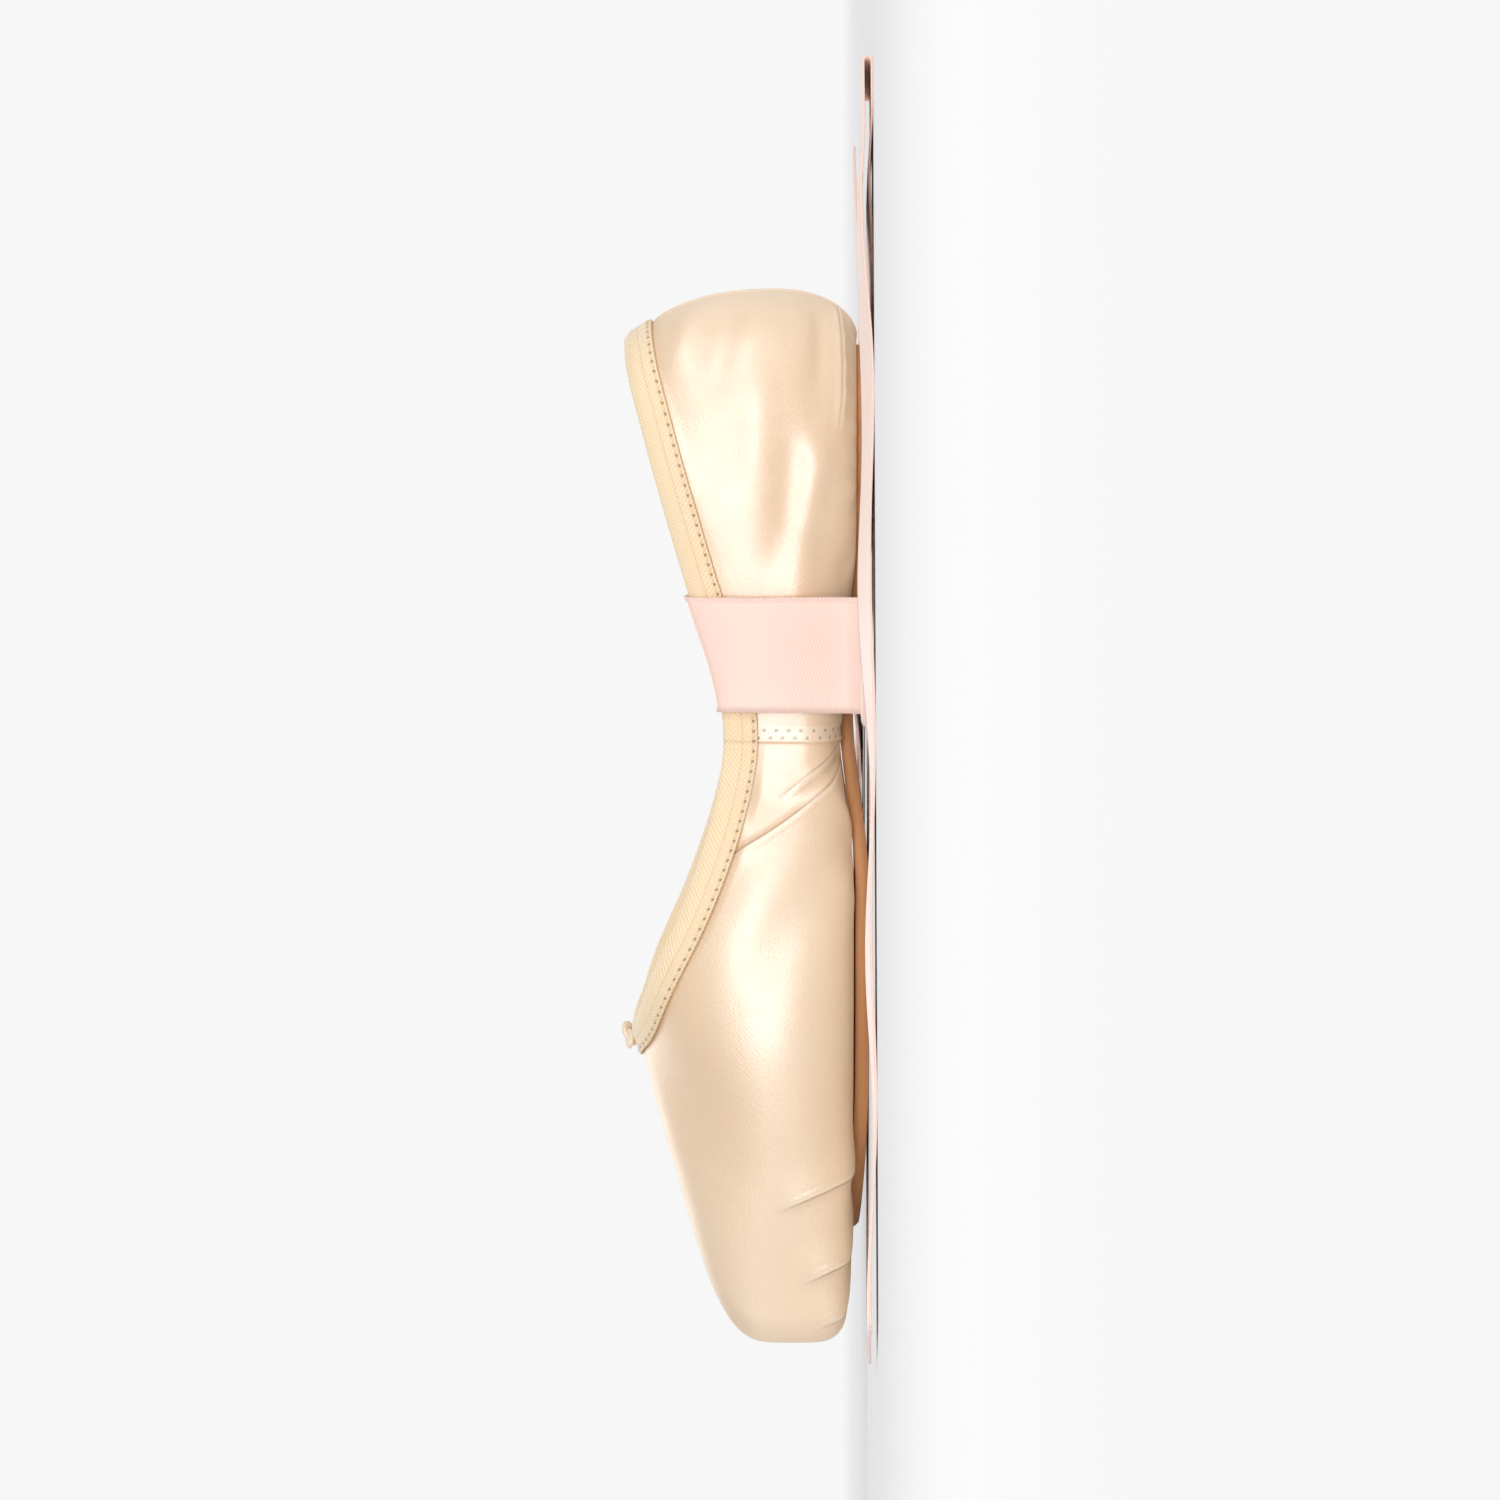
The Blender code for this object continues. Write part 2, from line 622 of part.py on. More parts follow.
def add_ribbon(name, runs, side, finish):
    """A flat ribbon: sewn inside the quarter, over the collar, down to the floor and along it."""
    across = np.linspace(-RIBBON_WIDTH / 2, RIBBON_WIDTH / 2, RIBBON_STATIONS)
    drops = np.array([drop_from_collar(RIBBON_MIDDLE + v) for v in across])
    middle = drops.mean(axis=0)
    used = np.linalg.norm(np.diff(middle, axis=0), axis=1).sum()
    foot = drops[:, -1, 1].max()
    flat = folded_runs(runs, RIBBON_LENGTH - used, (RIBBON_MIDDLE, foot), across)
    grid = np.concatenate([drops, np.array(flat).transpose(1, 0, 2)], axis=1) * np.array([1, side, 1])
    normal = normals_of(grid, closed=False) * RIBBON_THICKNESS / 2
    return add_shell(name, grid + normal, grid - normal, False, (0, -1), finish)


def clear_scene():
    for old in list(bpy.data.objects):
        bpy.data.objects.remove(old)


clear_scene()
satin = material("peach satin", (0.94, 0.76, 0.57), 0.38)
leather = material("tan sole leather", (0.74, 0.42, 0.21), 0.62)
lining = material("insole cotton", (0.88, 0.78, 0.66), 0.85)
tape = material("twill tape", (0.93, 0.74, 0.50), 0.75)
cord = material("drawstring cotton", (0.90, 0.76, 0.60), 0.80)
ribbon = material("pink satin ribbon", (0.95, 0.70, 0.60), 0.40)

half_columns = [Column(point) for point in column_points()]
inside = add_upper(half_columns, satin)
add_outsole(half_columns, leather)
add_insole(half_columns[::2], inside[: len(half_columns)][::2], lining)
add_binding(half_columns, tape)
add_knot(half_columns, cord)
add_ribbon("ribbon_left", LEFT_RUNS, 1, ribbon)
add_ribbon("ribbon_right", RIGHT_RUNS, -1, ribbon)
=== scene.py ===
"""Looks of a satin pointe shoe that stands on its sole, toe towards +X, with its two ribbons lying loose."""

import math
from collections import namedtuple

import bmesh
import bpy
import numpy as np
from mathutils import Matrix, Vector


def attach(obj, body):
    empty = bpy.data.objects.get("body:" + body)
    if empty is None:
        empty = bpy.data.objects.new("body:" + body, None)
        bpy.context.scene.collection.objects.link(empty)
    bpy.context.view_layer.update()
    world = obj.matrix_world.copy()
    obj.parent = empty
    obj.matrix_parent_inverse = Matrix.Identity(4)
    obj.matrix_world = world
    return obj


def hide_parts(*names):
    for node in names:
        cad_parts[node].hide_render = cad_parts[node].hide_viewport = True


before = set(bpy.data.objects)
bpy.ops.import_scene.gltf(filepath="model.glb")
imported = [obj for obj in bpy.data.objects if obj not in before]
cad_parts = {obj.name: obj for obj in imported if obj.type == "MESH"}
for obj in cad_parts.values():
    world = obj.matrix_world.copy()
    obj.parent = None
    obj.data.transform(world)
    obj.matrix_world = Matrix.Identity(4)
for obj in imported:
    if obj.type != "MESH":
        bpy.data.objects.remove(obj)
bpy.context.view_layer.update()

# The upper: peach satin over a cotton lining, pulled over a straight last and pleated under it. Paste makes
# the toe box stiff. The quarter laps over the vamp at each side seam, where two rows of stitches hold it, and
# a fine welt closes it behind.
LENGTH = 0.230
BALL_WIDTH = 0.081
WAIST_WIDTH = 0.054
HEEL_WIDTH = 0.057
HEEL_BULGE = 0.030
PLATFORM_WIDTH = 0.044
PLATFORM_CORNER = 0.007
PLATFORM_HEIGHT = 0.031
THROAT_HEIGHT = 0.051
SIDE_HEIGHT = 0.030
HEEL_HEIGHT = 0.052
VAMP_LENGTH = 0.068
BOX_LENGTH = 0.095
SEAM_FROM_TOE = 0.133
BOX_WALL = 0.0025
QUARTER_WALL = 0.0012
SEAM_STEP = 0.0005
SEAM_SLOPE = 0.0006
CLEARANCE = 0.0003
LASTING_MARGIN = 0.008
SOLE_THICKNESS = 0.0030
SOLE_HEEL_WIDTH = 0.034
SOLE_WAIST_WIDTH = 0.027
SOLE_TREAD_WIDTH = 0.049
SOLE_HEEL_INSET = 0.012
SOLE_TIP_INSET = 0.023
SOLE_TIP_LENGTH = 0.034
ARCH_RISE = 0.0035
TOE_SPRING = 0.0045

BACK = -LENGTH / 2
TIP = LENGTH / 2
HEEL_PIVOT = BACK + HEEL_BULGE
TOE_PIVOT = TIP - BOX_LENGTH
BOX_START = TIP - VAMP_LENGTH
SEAM = TIP - SEAM_FROM_TOE
BOTTOM = SOLE_THICKNESS + CLEARANCE

Station = namedtuple("Station", "at width widest ridge")
LAST = (
    Station(0.000, 0.90 * HEEL_WIDTH, 0.42 * HEEL_HEIGHT, 1.14 * HEEL_HEIGHT),
    Station(0.130, 1.00 * HEEL_WIDTH, 0.46 * HEEL_HEIGHT, 1.25 * HEEL_HEIGHT),
    Station(0.280, 1.03 * WAIST_WIDTH, 0.37 * HEEL_HEIGHT, 1.13 * HEEL_HEIGHT),
    Station(0.410, 1.00 * WAIST_WIDTH, 0.48 * SIDE_HEIGHT, 1.80 * SIDE_HEIGHT),
    Station(0.500, 0.77 * BALL_WIDTH, 0.54 * SIDE_HEIGHT, 1.10 * THROAT_HEIGHT),
    Station(0.587, 0.91 * BALL_WIDTH, 0.36 * THROAT_HEIGHT, 1.13 * THROAT_HEIGHT),
    Station(0.700, 1.00 * BALL_WIDTH, 0.39 * THROAT_HEIGHT, 1.00 * THROAT_HEIGHT),
    Station(0.850, 0.81 * BALL_WIDTH, 0.36 * THROAT_HEIGHT, 0.81 * THROAT_HEIGHT),
    Station(0.957, 1.15 * PLATFORM_WIDTH, 0.56 * PLATFORM_HEIGHT, 1.10 * PLATFORM_HEIGHT),
    Station(1.000, 1.00 * PLATFORM_WIDTH, 0.56 * PLATFORM_HEIGHT, 1.00 * PLATFORM_HEIGHT),
)
Rim = namedtuple("Rim", "at height")
COLLAR = (
    Rim(0.000, 1.00 * HEEL_HEIGHT),
    Rim(0.050, 0.99 * HEEL_HEIGHT),
    Rim(0.130, 0.92 * HEEL_HEIGHT),
    Rim(0.260, 0.76 * HEEL_HEIGHT),
    Rim(0.420, 1.00 * SIDE_HEIGHT),
    Rim(0.500, 0.655 * THROAT_HEIGHT),
    Rim(0.587, 0.790 * THROAT_HEIGHT),
)
Tread = namedtuple("Tread", "at width")
SOLE = (
    Tread(0.126, 1.00 * SOLE_HEEL_WIDTH),
    Tread(0.220, 0.90 * SOLE_HEEL_WIDTH),
    Tread(0.370, 1.00 * SOLE_WAIST_WIDTH),
    Tread(0.500, 0.78 * SOLE_TREAD_WIDTH),
    Tread(0.640, 1.00 * SOLE_TREAD_WIDTH),
    Tread(0.740, 0.93 * SOLE_TREAD_WIDTH),
)
HEEL_FLAT_END = 0.217
TREAD_FLAT_START = 0.565
TREAD_FLAT_END = 0.740

SIDE_ROUND = 2.3
BOX_ROUND = 16.0
BOX_TURN = 20
CROWN_ROUND = 2.0
BOX_CROWN = 4.5
CROWN_TURN = 12
LOWER_ROUND = 2.2
BOX_LOWER = 6.0
LOWER_TURN = 8
HEEL_PLAN_ROUND = 2.25

HEEL_COLUMNS = 54
HEEL_CROWDING = 1.4
QUARTER_COLUMNS = 54
SEAM_COLUMNS = 4
WAIST_COLUMNS = 64
BOX_COLUMNS = 174
LOWER_ROWS = 40
UPPER_ROWS = 76
LINING_ROWS = 24
BEND_WEIGHT = 0.012
FINE = 60
MERGE_DISTANCE = 2e-6
SHARP_ANGLE = 55


def place(share):
    return BACK + share * LENGTH


def step(x, start, end):
    u = np.clip((x - start) / (end - start), 0, 1)
    return u * u * (3 - 2 * u)


def power(value, exponent):
    return np.maximum(value, 0.0) ** exponent


def smooth(table, column, x):
    """The column's value at x, on a cubic curve through the table's rows."""
    at = np.array([place(row.at) for row in table])
    value = np.array([getattr(row, column) for row in table])
    slope = np.gradient(value, at)
    x = np.clip(x, at[0], at[-1])
    i = np.clip(np.searchsorted(at, x, side="right") - 1, 0, len(at) - 2)
    span = at[i + 1] - at[i]
    u = (x - at[i]) / span
    rise = value[i + 1] - value[i]
    first = slope[i] * span - rise
    last = rise - slope[i + 1] * span
    return value[i] + u * rise + u * (1 - u) * ((1 - u) * first + u * last)


def lift(x):
    """How far the sole's line is off the floor: an arch at the waist and a spring at the toe."""
    u = (x - place(HEEL_FLAT_END)) / (place(TREAD_FLAT_START) - place(HEEL_FLAT_END))
    v = power((x - place(TREAD_FLAT_END)) / (TIP - place(TREAD_FLAT_END)), 1.6)
    return ARCH_RISE * np.sin(np.pi * np.clip(u, 0, 1)) ** 2 + TOE_SPRING * v


def last_outline():
    """Half of the widest line in plan, from the heel's back to the middle of the platform."""
    a = np.linspace(0, math.pi / 2, FINE, endpoint=False)
    heel_x = HEEL_PIVOT - (HEEL_BULGE - SEAM_STEP) * power(np.cos(a), 2 / HEEL_PLAN_ROUND)
    heel_y = HEEL_WIDTH / 2 * power(np.sin(a), 2 / HEEL_PLAN_ROUND)
    corner = TIP - PLATFORM_CORNER
    side_x = np.linspace(HEEL_PIVOT, corner, 4 * FINE)
    side_y = smooth(LAST, "width", side_x) / 2
    taper = math.atan2(side_y[-2] - side_y[-1], side_x[-1] - side_x[-2])
    radius = PLATFORM_CORNER / (1 - math.sin(taper))
    turn = side_y[-1] - radius * math.cos(taper)
    b = np.linspace(taper, math.pi / 2, FINE)[1:]
    front_y = np.linspace(turn, 0, 11)[1:]
    x = np.concatenate([heel_x, side_x, TIP - radius + radius * np.sin(b), np.full(10, TIP)])
    y = np.concatenate([heel_y, side_y, turn + radius * np.cos(b), front_y])
    return np.stack([x, y], axis=1)


def sole_outline():
    """Half of the outsole's edge in plan, from its heel to its tip."""
    radius = SOLE_HEEL_WIDTH / 2
    round_end = BACK + SOLE_HEEL_INSET + radius
    tip_start = TIP - SOLE_TIP_INSET - SOLE_TIP_LENGTH
    a = np.linspace(0, math.pi / 2, FINE, endpoint=False)
    side_x = np.linspace(round_end, tip_start, 2 * FINE)
    side_y = smooth(SOLE, "width", side_x) / 2
    b = np.linspace(0, math.pi / 2, FINE)[1:-1]
    tip_x = tip_start + SOLE_TIP_LENGTH * np.sin(b)
    x = np.concatenate([round_end - radius * np.cos(a), side_x, tip_x, [tip_start + SOLE_TIP_LENGTH]])
    y = np.concatenate([radius * np.sin(a), side_y, side_y[-1] * np.cos(b), [0.0]])
    return np.stack([x, y], axis=1)


LAST_OUTLINE = last_outline()
SOLE_OUTLINE = sole_outline()


def reach(outline, pivot, towards):
    """How far the line from pivot through towards runs before it crosses the outline."""
    along = (towards - pivot) / np.linalg.norm(towards - pivot)
    side = (outline - pivot) @ np.array([-along[1], along[0]])
    ahead = (outline - pivot) @ along
    crossing = (side[:-1] * side[1:] <= 0) & (side[:-1] != side[1:])
    start = side[:-1][crossing]
    end = side[1:][crossing]
    before = ahead[:-1][crossing]
    return (before + start / (start - end) * (ahead[1:][crossing] - before)).max()


def run_of(points):
    """Running length along a polyline."""
    return np.concatenate([[0], np.cumsum(np.linalg.norm(np.diff(points, axis=0), axis=1))])


def resampled(points, shares):
    """Points at these shares of the polyline's length."""
    run = run_of(points)
    want = np.asarray(shares) * run[-1]
    return np.stack([np.interp(want, run, points[:, k]) for k in range(points.shape[1])], axis=1)


def column_points():
    """Where each column of the half meets the widest line, closer together where it bends or is sewn."""
    steps = np.diff(LAST_OUTLINE, axis=0)
    turning = np.abs(np.diff(np.unwrap(np.arctan2(steps[:, 1], steps[:, 0]))))
    lengths = np.linalg.norm(steps, axis=1) + BEND_WEIGHT * np.concatenate([[0], turning])
    run = np.concatenate([[0], np.cumsum(lengths)])
    stops = np.interp(
        [HEEL_PIVOT, SEAM - SEAM_SLOPE / 2, SEAM + SEAM_SLOPE / 2, TOE_PIVOT],
        LAST_OUTLINE[:-12, 0],
        run[:-12],
    )
    want = [stops[0] * np.linspace(0, 1, HEEL_COLUMNS + 1) ** HEEL_CROWDING]
    counts = (QUARTER_COLUMNS, SEAM_COLUMNS, WAIST_COLUMNS, BOX_COLUMNS)
    for start, end, count in zip(stops, [*stops[1:], run[-1]], counts):
        want.append(np.linspace(start, end, count + 1)[1:])
    want = np.concatenate(want)
    return np.stack([np.interp(want, run, LAST_OUTLINE[:, k]) for k in range(2)], axis=1)


class Column:
    """One upright section of the upper, in the plane from a pivot on the middle line to the widest line."""

    def __init__(self, widest):
        self.widest = np.array(widest)
        self.pivot = np.array([min(max(widest[0], HEEL_PIVOT), TOE_PIVOT), 0.0])
        self.radius = np.linalg.norm(self.widest - self.pivot)
        self.out = (self.widest - self.pivot) / self.radius
        self.in_box = self.widest[0] > TOE_PIVOT
        ahead = self.out[0] if self.in_box else 0.0
        self.round = SIDE_ROUND + (BOX_ROUND - SIDE_ROUND) * ahead**BOX_TURN
        self.crown = CROWN_ROUND + (BOX_CROWN - CROWN_ROUND) * ahead**CROWN_TURN
        self.lower = LOWER_ROUND + (BOX_LOWER - LOWER_ROUND) * ahead**LOWER_TURN
        self.height = smooth(LAST, "widest", self.widest[0])
        self.sole_edge = reach(SOLE_OUTLINE, self.pivot, self.widest)
        self.rim = self.rim_share(ahead)
        self.step = SEAM_STEP * (1 - step(self.widest[0], SEAM - SEAM_SLOPE / 2, SEAM + SEAM_SLOPE / 2))

    def rim_share(self, ahead):
        """Where the collar cuts the section, as a share of the way out to the widest line."""
        if self.in_box:
            pivot_column = Column((TOE_PIVOT, smooth(LAST, "width", TOE_PIVOT) / 2))
            beside = pivot_column.rim * pivot_column.radius
            return (beside + (BOX_START - TOE_PIVOT - beside) * ahead**2) / self.radius
        ridge = smooth(LAST, "ridge", self.widest[0])
        height = smooth(COLLAR, "height", self.widest[0])
        return (1 - ((height - self.height) / (ridge - self.height)) ** self.crown) ** (1 / self.round)

    def at(self, distance, height):
        plan = self.pivot + self.out * np.reshape(distance, (-1, 1))
        return np.column_stack([plan, np.broadcast_to(height, len(plan))])

    def sole_line(self, distance):
        return lift(self.pivot[0] + self.out[0] * distance)

    def below(self):
        """From the sole's edge out and up to the widest line."""
        start = BOTTOM + self.sole_line(self.sole_edge)
        a = np.linspace(0, math.pi / 2, FINE + 1)
        out = power(np.sin(a), 2 / self.lower)
        up = 1 - power(np.cos(a), 2 / self.lower)
        distance = self.sole_edge + (self.radius - self.sole_edge) * out
        return self.at(distance, start + (self.height - start) * up)

    def above(self):
        """From the widest line in and up to the collar."""
        share = self.rim + (1 - self.rim) * np.cos(np.linspace(0, math.pi / 2, 2 * FINE + 1))
        distance = share * self.radius
        x = self.pivot[0] + self.out[0] * distance
        ridge = smooth(LAST, "ridge", x if self.in_box else self.widest[0])
        rise = power(1 - share**self.round, 1 / self.crown)
        return self.at(distance, self.height + (ridge - self.height) * rise)

    def rows(self):
        inner = self.sole_edge - LASTING_MARGIN
        margin = self.at(inner, BOTTOM + self.sole_line(inner))
        lower = resampled(self.below(), np.linspace(0, 1, LOWER_ROWS + 1))
        upper = resampled(self.above(), np.linspace(0, 1, UPPER_ROWS + 1))
        return np.concatenate([margin, lower, upper[1:]])

    def from_rim(self, drops):
        """Points on the section these lengths below the collar."""
        points = self.above()[::-1]
        return resampled(points, np.array(drops) / run_of(points)[-1])


def wall_at(x):
    """The upper's thickness: one soft layer round the quarters, stiff and thick in the box."""
    return QUARTER_WALL + (BOX_WALL - QUARTER_WALL) * step(x, SEAM, BOX_START)


def both_sides(half):
    """Round the whole shoe and back to the first column: the half's columns, then their mirror images."""
    return np.concatenate([half, half[-2::-1] * np.array([1, -1, 1])])


def both_values(half):
    return np.concatenate([half, half[-2::-1]])


def normals_of(grid, closed):
    """Outward normals of a grid of points, columns by rows. A closed grid's last column is its first."""
    if closed:
        along = np.roll(grid[:-1], -1, axis=0) - np.roll(grid[:-1], 1, axis=0)
        along = np.concatenate([along, along[:1]])
    else:
        along = np.gradient(grid, axis=0)
    normal = np.cross(np.gradient(grid, axis=1), along)
    return normal / np.linalg.norm(normal, axis=2, keepdims=True)


def lengths_along(grid, axis):
    """Running length over a grid of points, along its columns or its rows."""
    run = np.cumsum(np.linalg.norm(np.diff(grid, axis=axis), axis=2), axis=axis)
    return np.concatenate([np.zeros_like(run.take([0], axis=axis)), run], axis=axis)


# Folds in the satin, on one side (1 is the left) or on both (0). Their places are shares of the length from
# the heel, of half the ball's width and of the throat's height; width and depth are in metres. A lapped fold
# is a pleat: it falls steeply on one side, to the left of its way for 1 and to the right for -1.
Fold = namedtuple("Fold", "side start middle end width depth lapped")
FOLDS = (
    Fold(0, (0.432, 0.47, 0.08), (0.466, 0.70, 0.26), (0.510, 0.73, 0.52), 0.0034, -0.00075, 0),
    Fold(0, (0.440, 0.48, 0.08), (0.487, 0.76, 0.31), (0.548, 0.72, 0.74), 0.0030, 0.00080, 1),
    Fold(0, (0.420, 0.46, 0.08), (0.446, 0.67, 0.22), (0.476, 0.72, 0.40), 0.0026, 0.00055, 1),
    Fold(1, (0.454, 0.70, 0.36), (0.478, 0.74, 0.48), (0.506, 0.70, 0.66), 0.0040, -0.00085, 0),
    Fold(1, (0.470, 0.72, 0.44), (0.496, 0.73, 0.56), (0.520, 0.70, 0.68), 0.0026, 0.00055, 0),
    Fold(-1, (0.460, 0.70, 0.32), (0.488, 0.76, 0.46), (0.520, 0.72, 0.66), 0.0038, -0.00080, 0),
    Fold(-1, (0.480, 0.70, 0.40), (0.504, 0.73, 0.52), (0.530, 0.68, 0.66), 0.0028, 0.00050, 0),
    Fold(0, (0.470, 0.52, 0.09), (0.545, 0.84, 0.38), (0.632, 0.82, 0.76), 0.0075, 0.00110, 0),
    Fold(0, (0.500, 0.55, 0.09), (0.580, 0.90, 0.30), (0.690, 0.90, 0.62), 0.0065, -0.00085, 0),
    Fold(0, (0.545, 0.58, 0.09), (0.640, 0.94, 0.26), (0.760, 0.94, 0.44), 0.0080, 0.00050, 0),
    Fold(1, (0.400, 0.46, 0.08), (0.386, 0.63, 0.24), (0.368, 0.64, 0.46), 0.0026, 0.00085, 0),
    Fold(1, (0.380, 0.44, 0.08), (0.356, 0.62, 0.24), (0.330, 0.64, 0.46), 0.0030, -0.00090, 0),
    Fold(1, (0.352, 0.44, 0.08), (0.322, 0.62, 0.22), (0.288, 0.66, 0.42), 0.0022, 0.00060, 1),
    Fold(-1, (0.394, 0.46, 0.08), (0.374, 0.63, 0.22), (0.352, 0.64, 0.42), 0.0028, 0.00080, 0),
    Fold(-1, (0.368, 0.44, 0.08), (0.344, 0.62, 0.24), (0.312, 0.64, 0.48), 0.0030, -0.00085, 0),
    Fold(-1, (0.340, 0.44, 0.08), (0.308, 0.62, 0.20), (0.270, 0.66, 0.36), 0.0020, 0.00055, 1),
    Fold(0, (0.322, 0.44, 0.08), (0.286, 0.62, 0.26), (0.240, 0.68, 0.48), 0.0050, 0.00085, 0),
    Fold(0, (0.262, 0.46, 0.08), (0.226, 0.66, 0.24), (0.180, 0.70, 0.40), 0.0042, -0.00080, 0),
    Fold(0, (0.196, 0.44, 0.08), (0.158, 0.66, 0.22), (0.112, 0.66, 0.34), 0.0036, 0.00060, 0),
    Fold(0, (0.110, 0.66, 0.17), (0.205, 0.72, 0.24), (0.330, 0.67, 0.34), 0.0032, 0.00090, 0),
    Fold(0, (0.100, 0.66, 0.30), (0.190, 0.72, 0.35), (0.300, 0.68, 0.44), 0.0036, -0.00080, 0),
    Fold(0, (0.060, 0.60, 0.46), (0.130, 0.71, 0.47), (0.220, 0.70, 0.50), 0.0040, 0.00060, 0),
    Fold(0, (0.006, 0.12, 0.22), (0.048, 0.52, 0.20), (0.136, 0.67, 0.24), 0.0026, -0.00115, 0),
    Fold(0, (0.012, 0.12, 0.13), (0.060, 0.48, 0.12), (0.150, 0.62, 0.14), 0.0022, 0.00085, 1),
    Fold(0, (0.004, 0.14, 0.58), (0.046, 0.54, 0.62), (0.118, 0.69, 0.72), 0.0044, -0.00120, 0),
    Fold(1, (0.006, 0.16, 0.74), (0.040, 0.50, 0.80), (0.090, 0.64, 0.86), 0.0036, 0.00060, 0),
    Fold(-1, (0.004, 0.14, 0.42), (0.044, 0.52, 0.38), (0.124, 0.68, 0.36), 0.0038, 0.00070, 0),
    Fold(0, (0.812, 0.51, 0.09), (0.835, 0.70, 0.20), (0.864, 0.82, 0.40), 0.0050, 0.00080, -1),
    Fold(0, (0.856, 0.40, 0.09), (0.900, 0.55, 0.13), (0.938, 0.66, 0.31), 0.0046, 0.00090, -1),
    Fold(0, (0.872, 0.33, 0.08), (0.930, 0.44, 0.10), (0.985, 0.54, 0.26), 0.0036, 0.00095, -1),
    Fold(0, (0.884, 0.22, 0.08), (0.948, 0.28, 0.10), (1.000, 0.38, 0.24), 0.0030, 0.00100, -1),
    Fold(0, (0.896, 0.10, 0.08), (0.950, 0.12, 0.10), (1.000, 0.15, 0.16), 0.0024, 0.00070, -1),
)
FOLD_STEPS = 16
FOLD_REACH = 0.014
FOLD_OFF_SKIN = 0.007
FADE_IN = 0.40
FADE_ABOVE = 0.15
FADE_IN_LOW = 0.10
FADE_OUT = 0.60
LAP_FADE_IN = 0.05
LAP_FADE_OUT = 0.74
LAP_FALL = 0.0011
LAP_NEAR = (0.0010, 0.0018)
LAP_FAR = 0.0040
WELT_WIDTH = 0.0007
WELT_HEIGHT = 0.0005
WELT_GROOVE = 0.0004
WELT_END = (BACK + 0.010, BACK + 0.020)
HEEL_PUCKER = 0.00022
PUCKER_PITCH = 0.0065
PUCKER_HEIGHT = 0.007
PUCKER_END = (place(0.10), place(0.30))
SAG = 0.00035
SAG_END = (0.010, 0.050)
STITCH_FROM_EDGE = (0.0010, 0.0026)
STITCH_DENT = 0.00016
STITCH_SPREAD = 0.0004
BINDING_DEPTH = 0.0065
UNDER_BINDING = (BINDING_DEPTH - 0.0005, BINDING_DEPTH + 0.0020)
ABOVE_MARGIN = (0.0004, 0.0030)


def fold_line(fold, side):
    """The fold's curve through its three places, in metres."""
    unit = np.array([LENGTH, side * BALL_WIDTH / 2, THROAT_HEIGHT])
    start, middle, end = (np.array(spot) * unit + np.array([BACK, 0, 0]) for spot in fold[1:4])
    t = np.linspace(0, 1, FOLD_STEPS + 1)[:, None]
    return (1 - t) ** 2 * start + 2 * t * (1 - t) * (2 * middle - (start + end) / 2) + t**2 * end


def fold_height(points, normal, fold, side):
    """What one fold adds to the skin at each point, its strength there and the distance across its line."""
    line = fold_line(fold, side)
    height = np.zeros(len(points))
    strength = np.zeros(len(points))
    apart = np.full(len(points), LAP_FAR)
    near = np.all((points > line.min(axis=0) - FOLD_REACH) & (points < line.max(axis=0) + FOLD_REACH), axis=1)
    spots = points[near]
    facing = normal[near]
    nearest = np.full((4, len(spots)), np.inf)
    for i, (start, end) in enumerate(zip(line, line[1:])):
        ahead = end - start
        t = np.clip((spots - start) @ ahead / (ahead @ ahead), 0, 1)
        away = spots - start - t[:, None] * ahead
        distance = np.linalg.norm(away, axis=1)
        beside = np.cross(facing, ahead)
        level = side * (away * beside).sum(axis=1) / np.linalg.norm(beside, axis=1)
        found = np.array([distance, level, (away * facing).sum(axis=1), (i + t) / FOLD_STEPS])
        nearest = np.where(distance < nearest[0], found, nearest)
    across, off, share = nearest[1:]
    bump = np.exp(-((across / fold.width) ** 2))
    fade_in = FADE_IN if fold.start[2] > FADE_ABOVE else FADE_IN_LOW
    ends = step(share, 0, fade_in) * (1 - step(share, FADE_OUT, 1))
    if fold.lapped:
        across = across * fold.lapped * side
        bump = np.exp(-((across / np.where(across > 0, fold.width, LAP_FALL)) ** 2))
        ends = step(share, 0, LAP_FADE_IN) * (1 - step(share, LAP_FADE_OUT, 1))
        strength[near] = ends * (1 - step(np.abs(across), *LAP_NEAR)) * (np.abs(off) < FOLD_OFF_SKIN)
        apart[near] = np.clip(across, -LAP_FAR, LAP_FAR)
    height[near] = fold.depth * bump * ends * np.exp(-((off / FOLD_OFF_SKIN) ** 4))
    return height, strength, apart


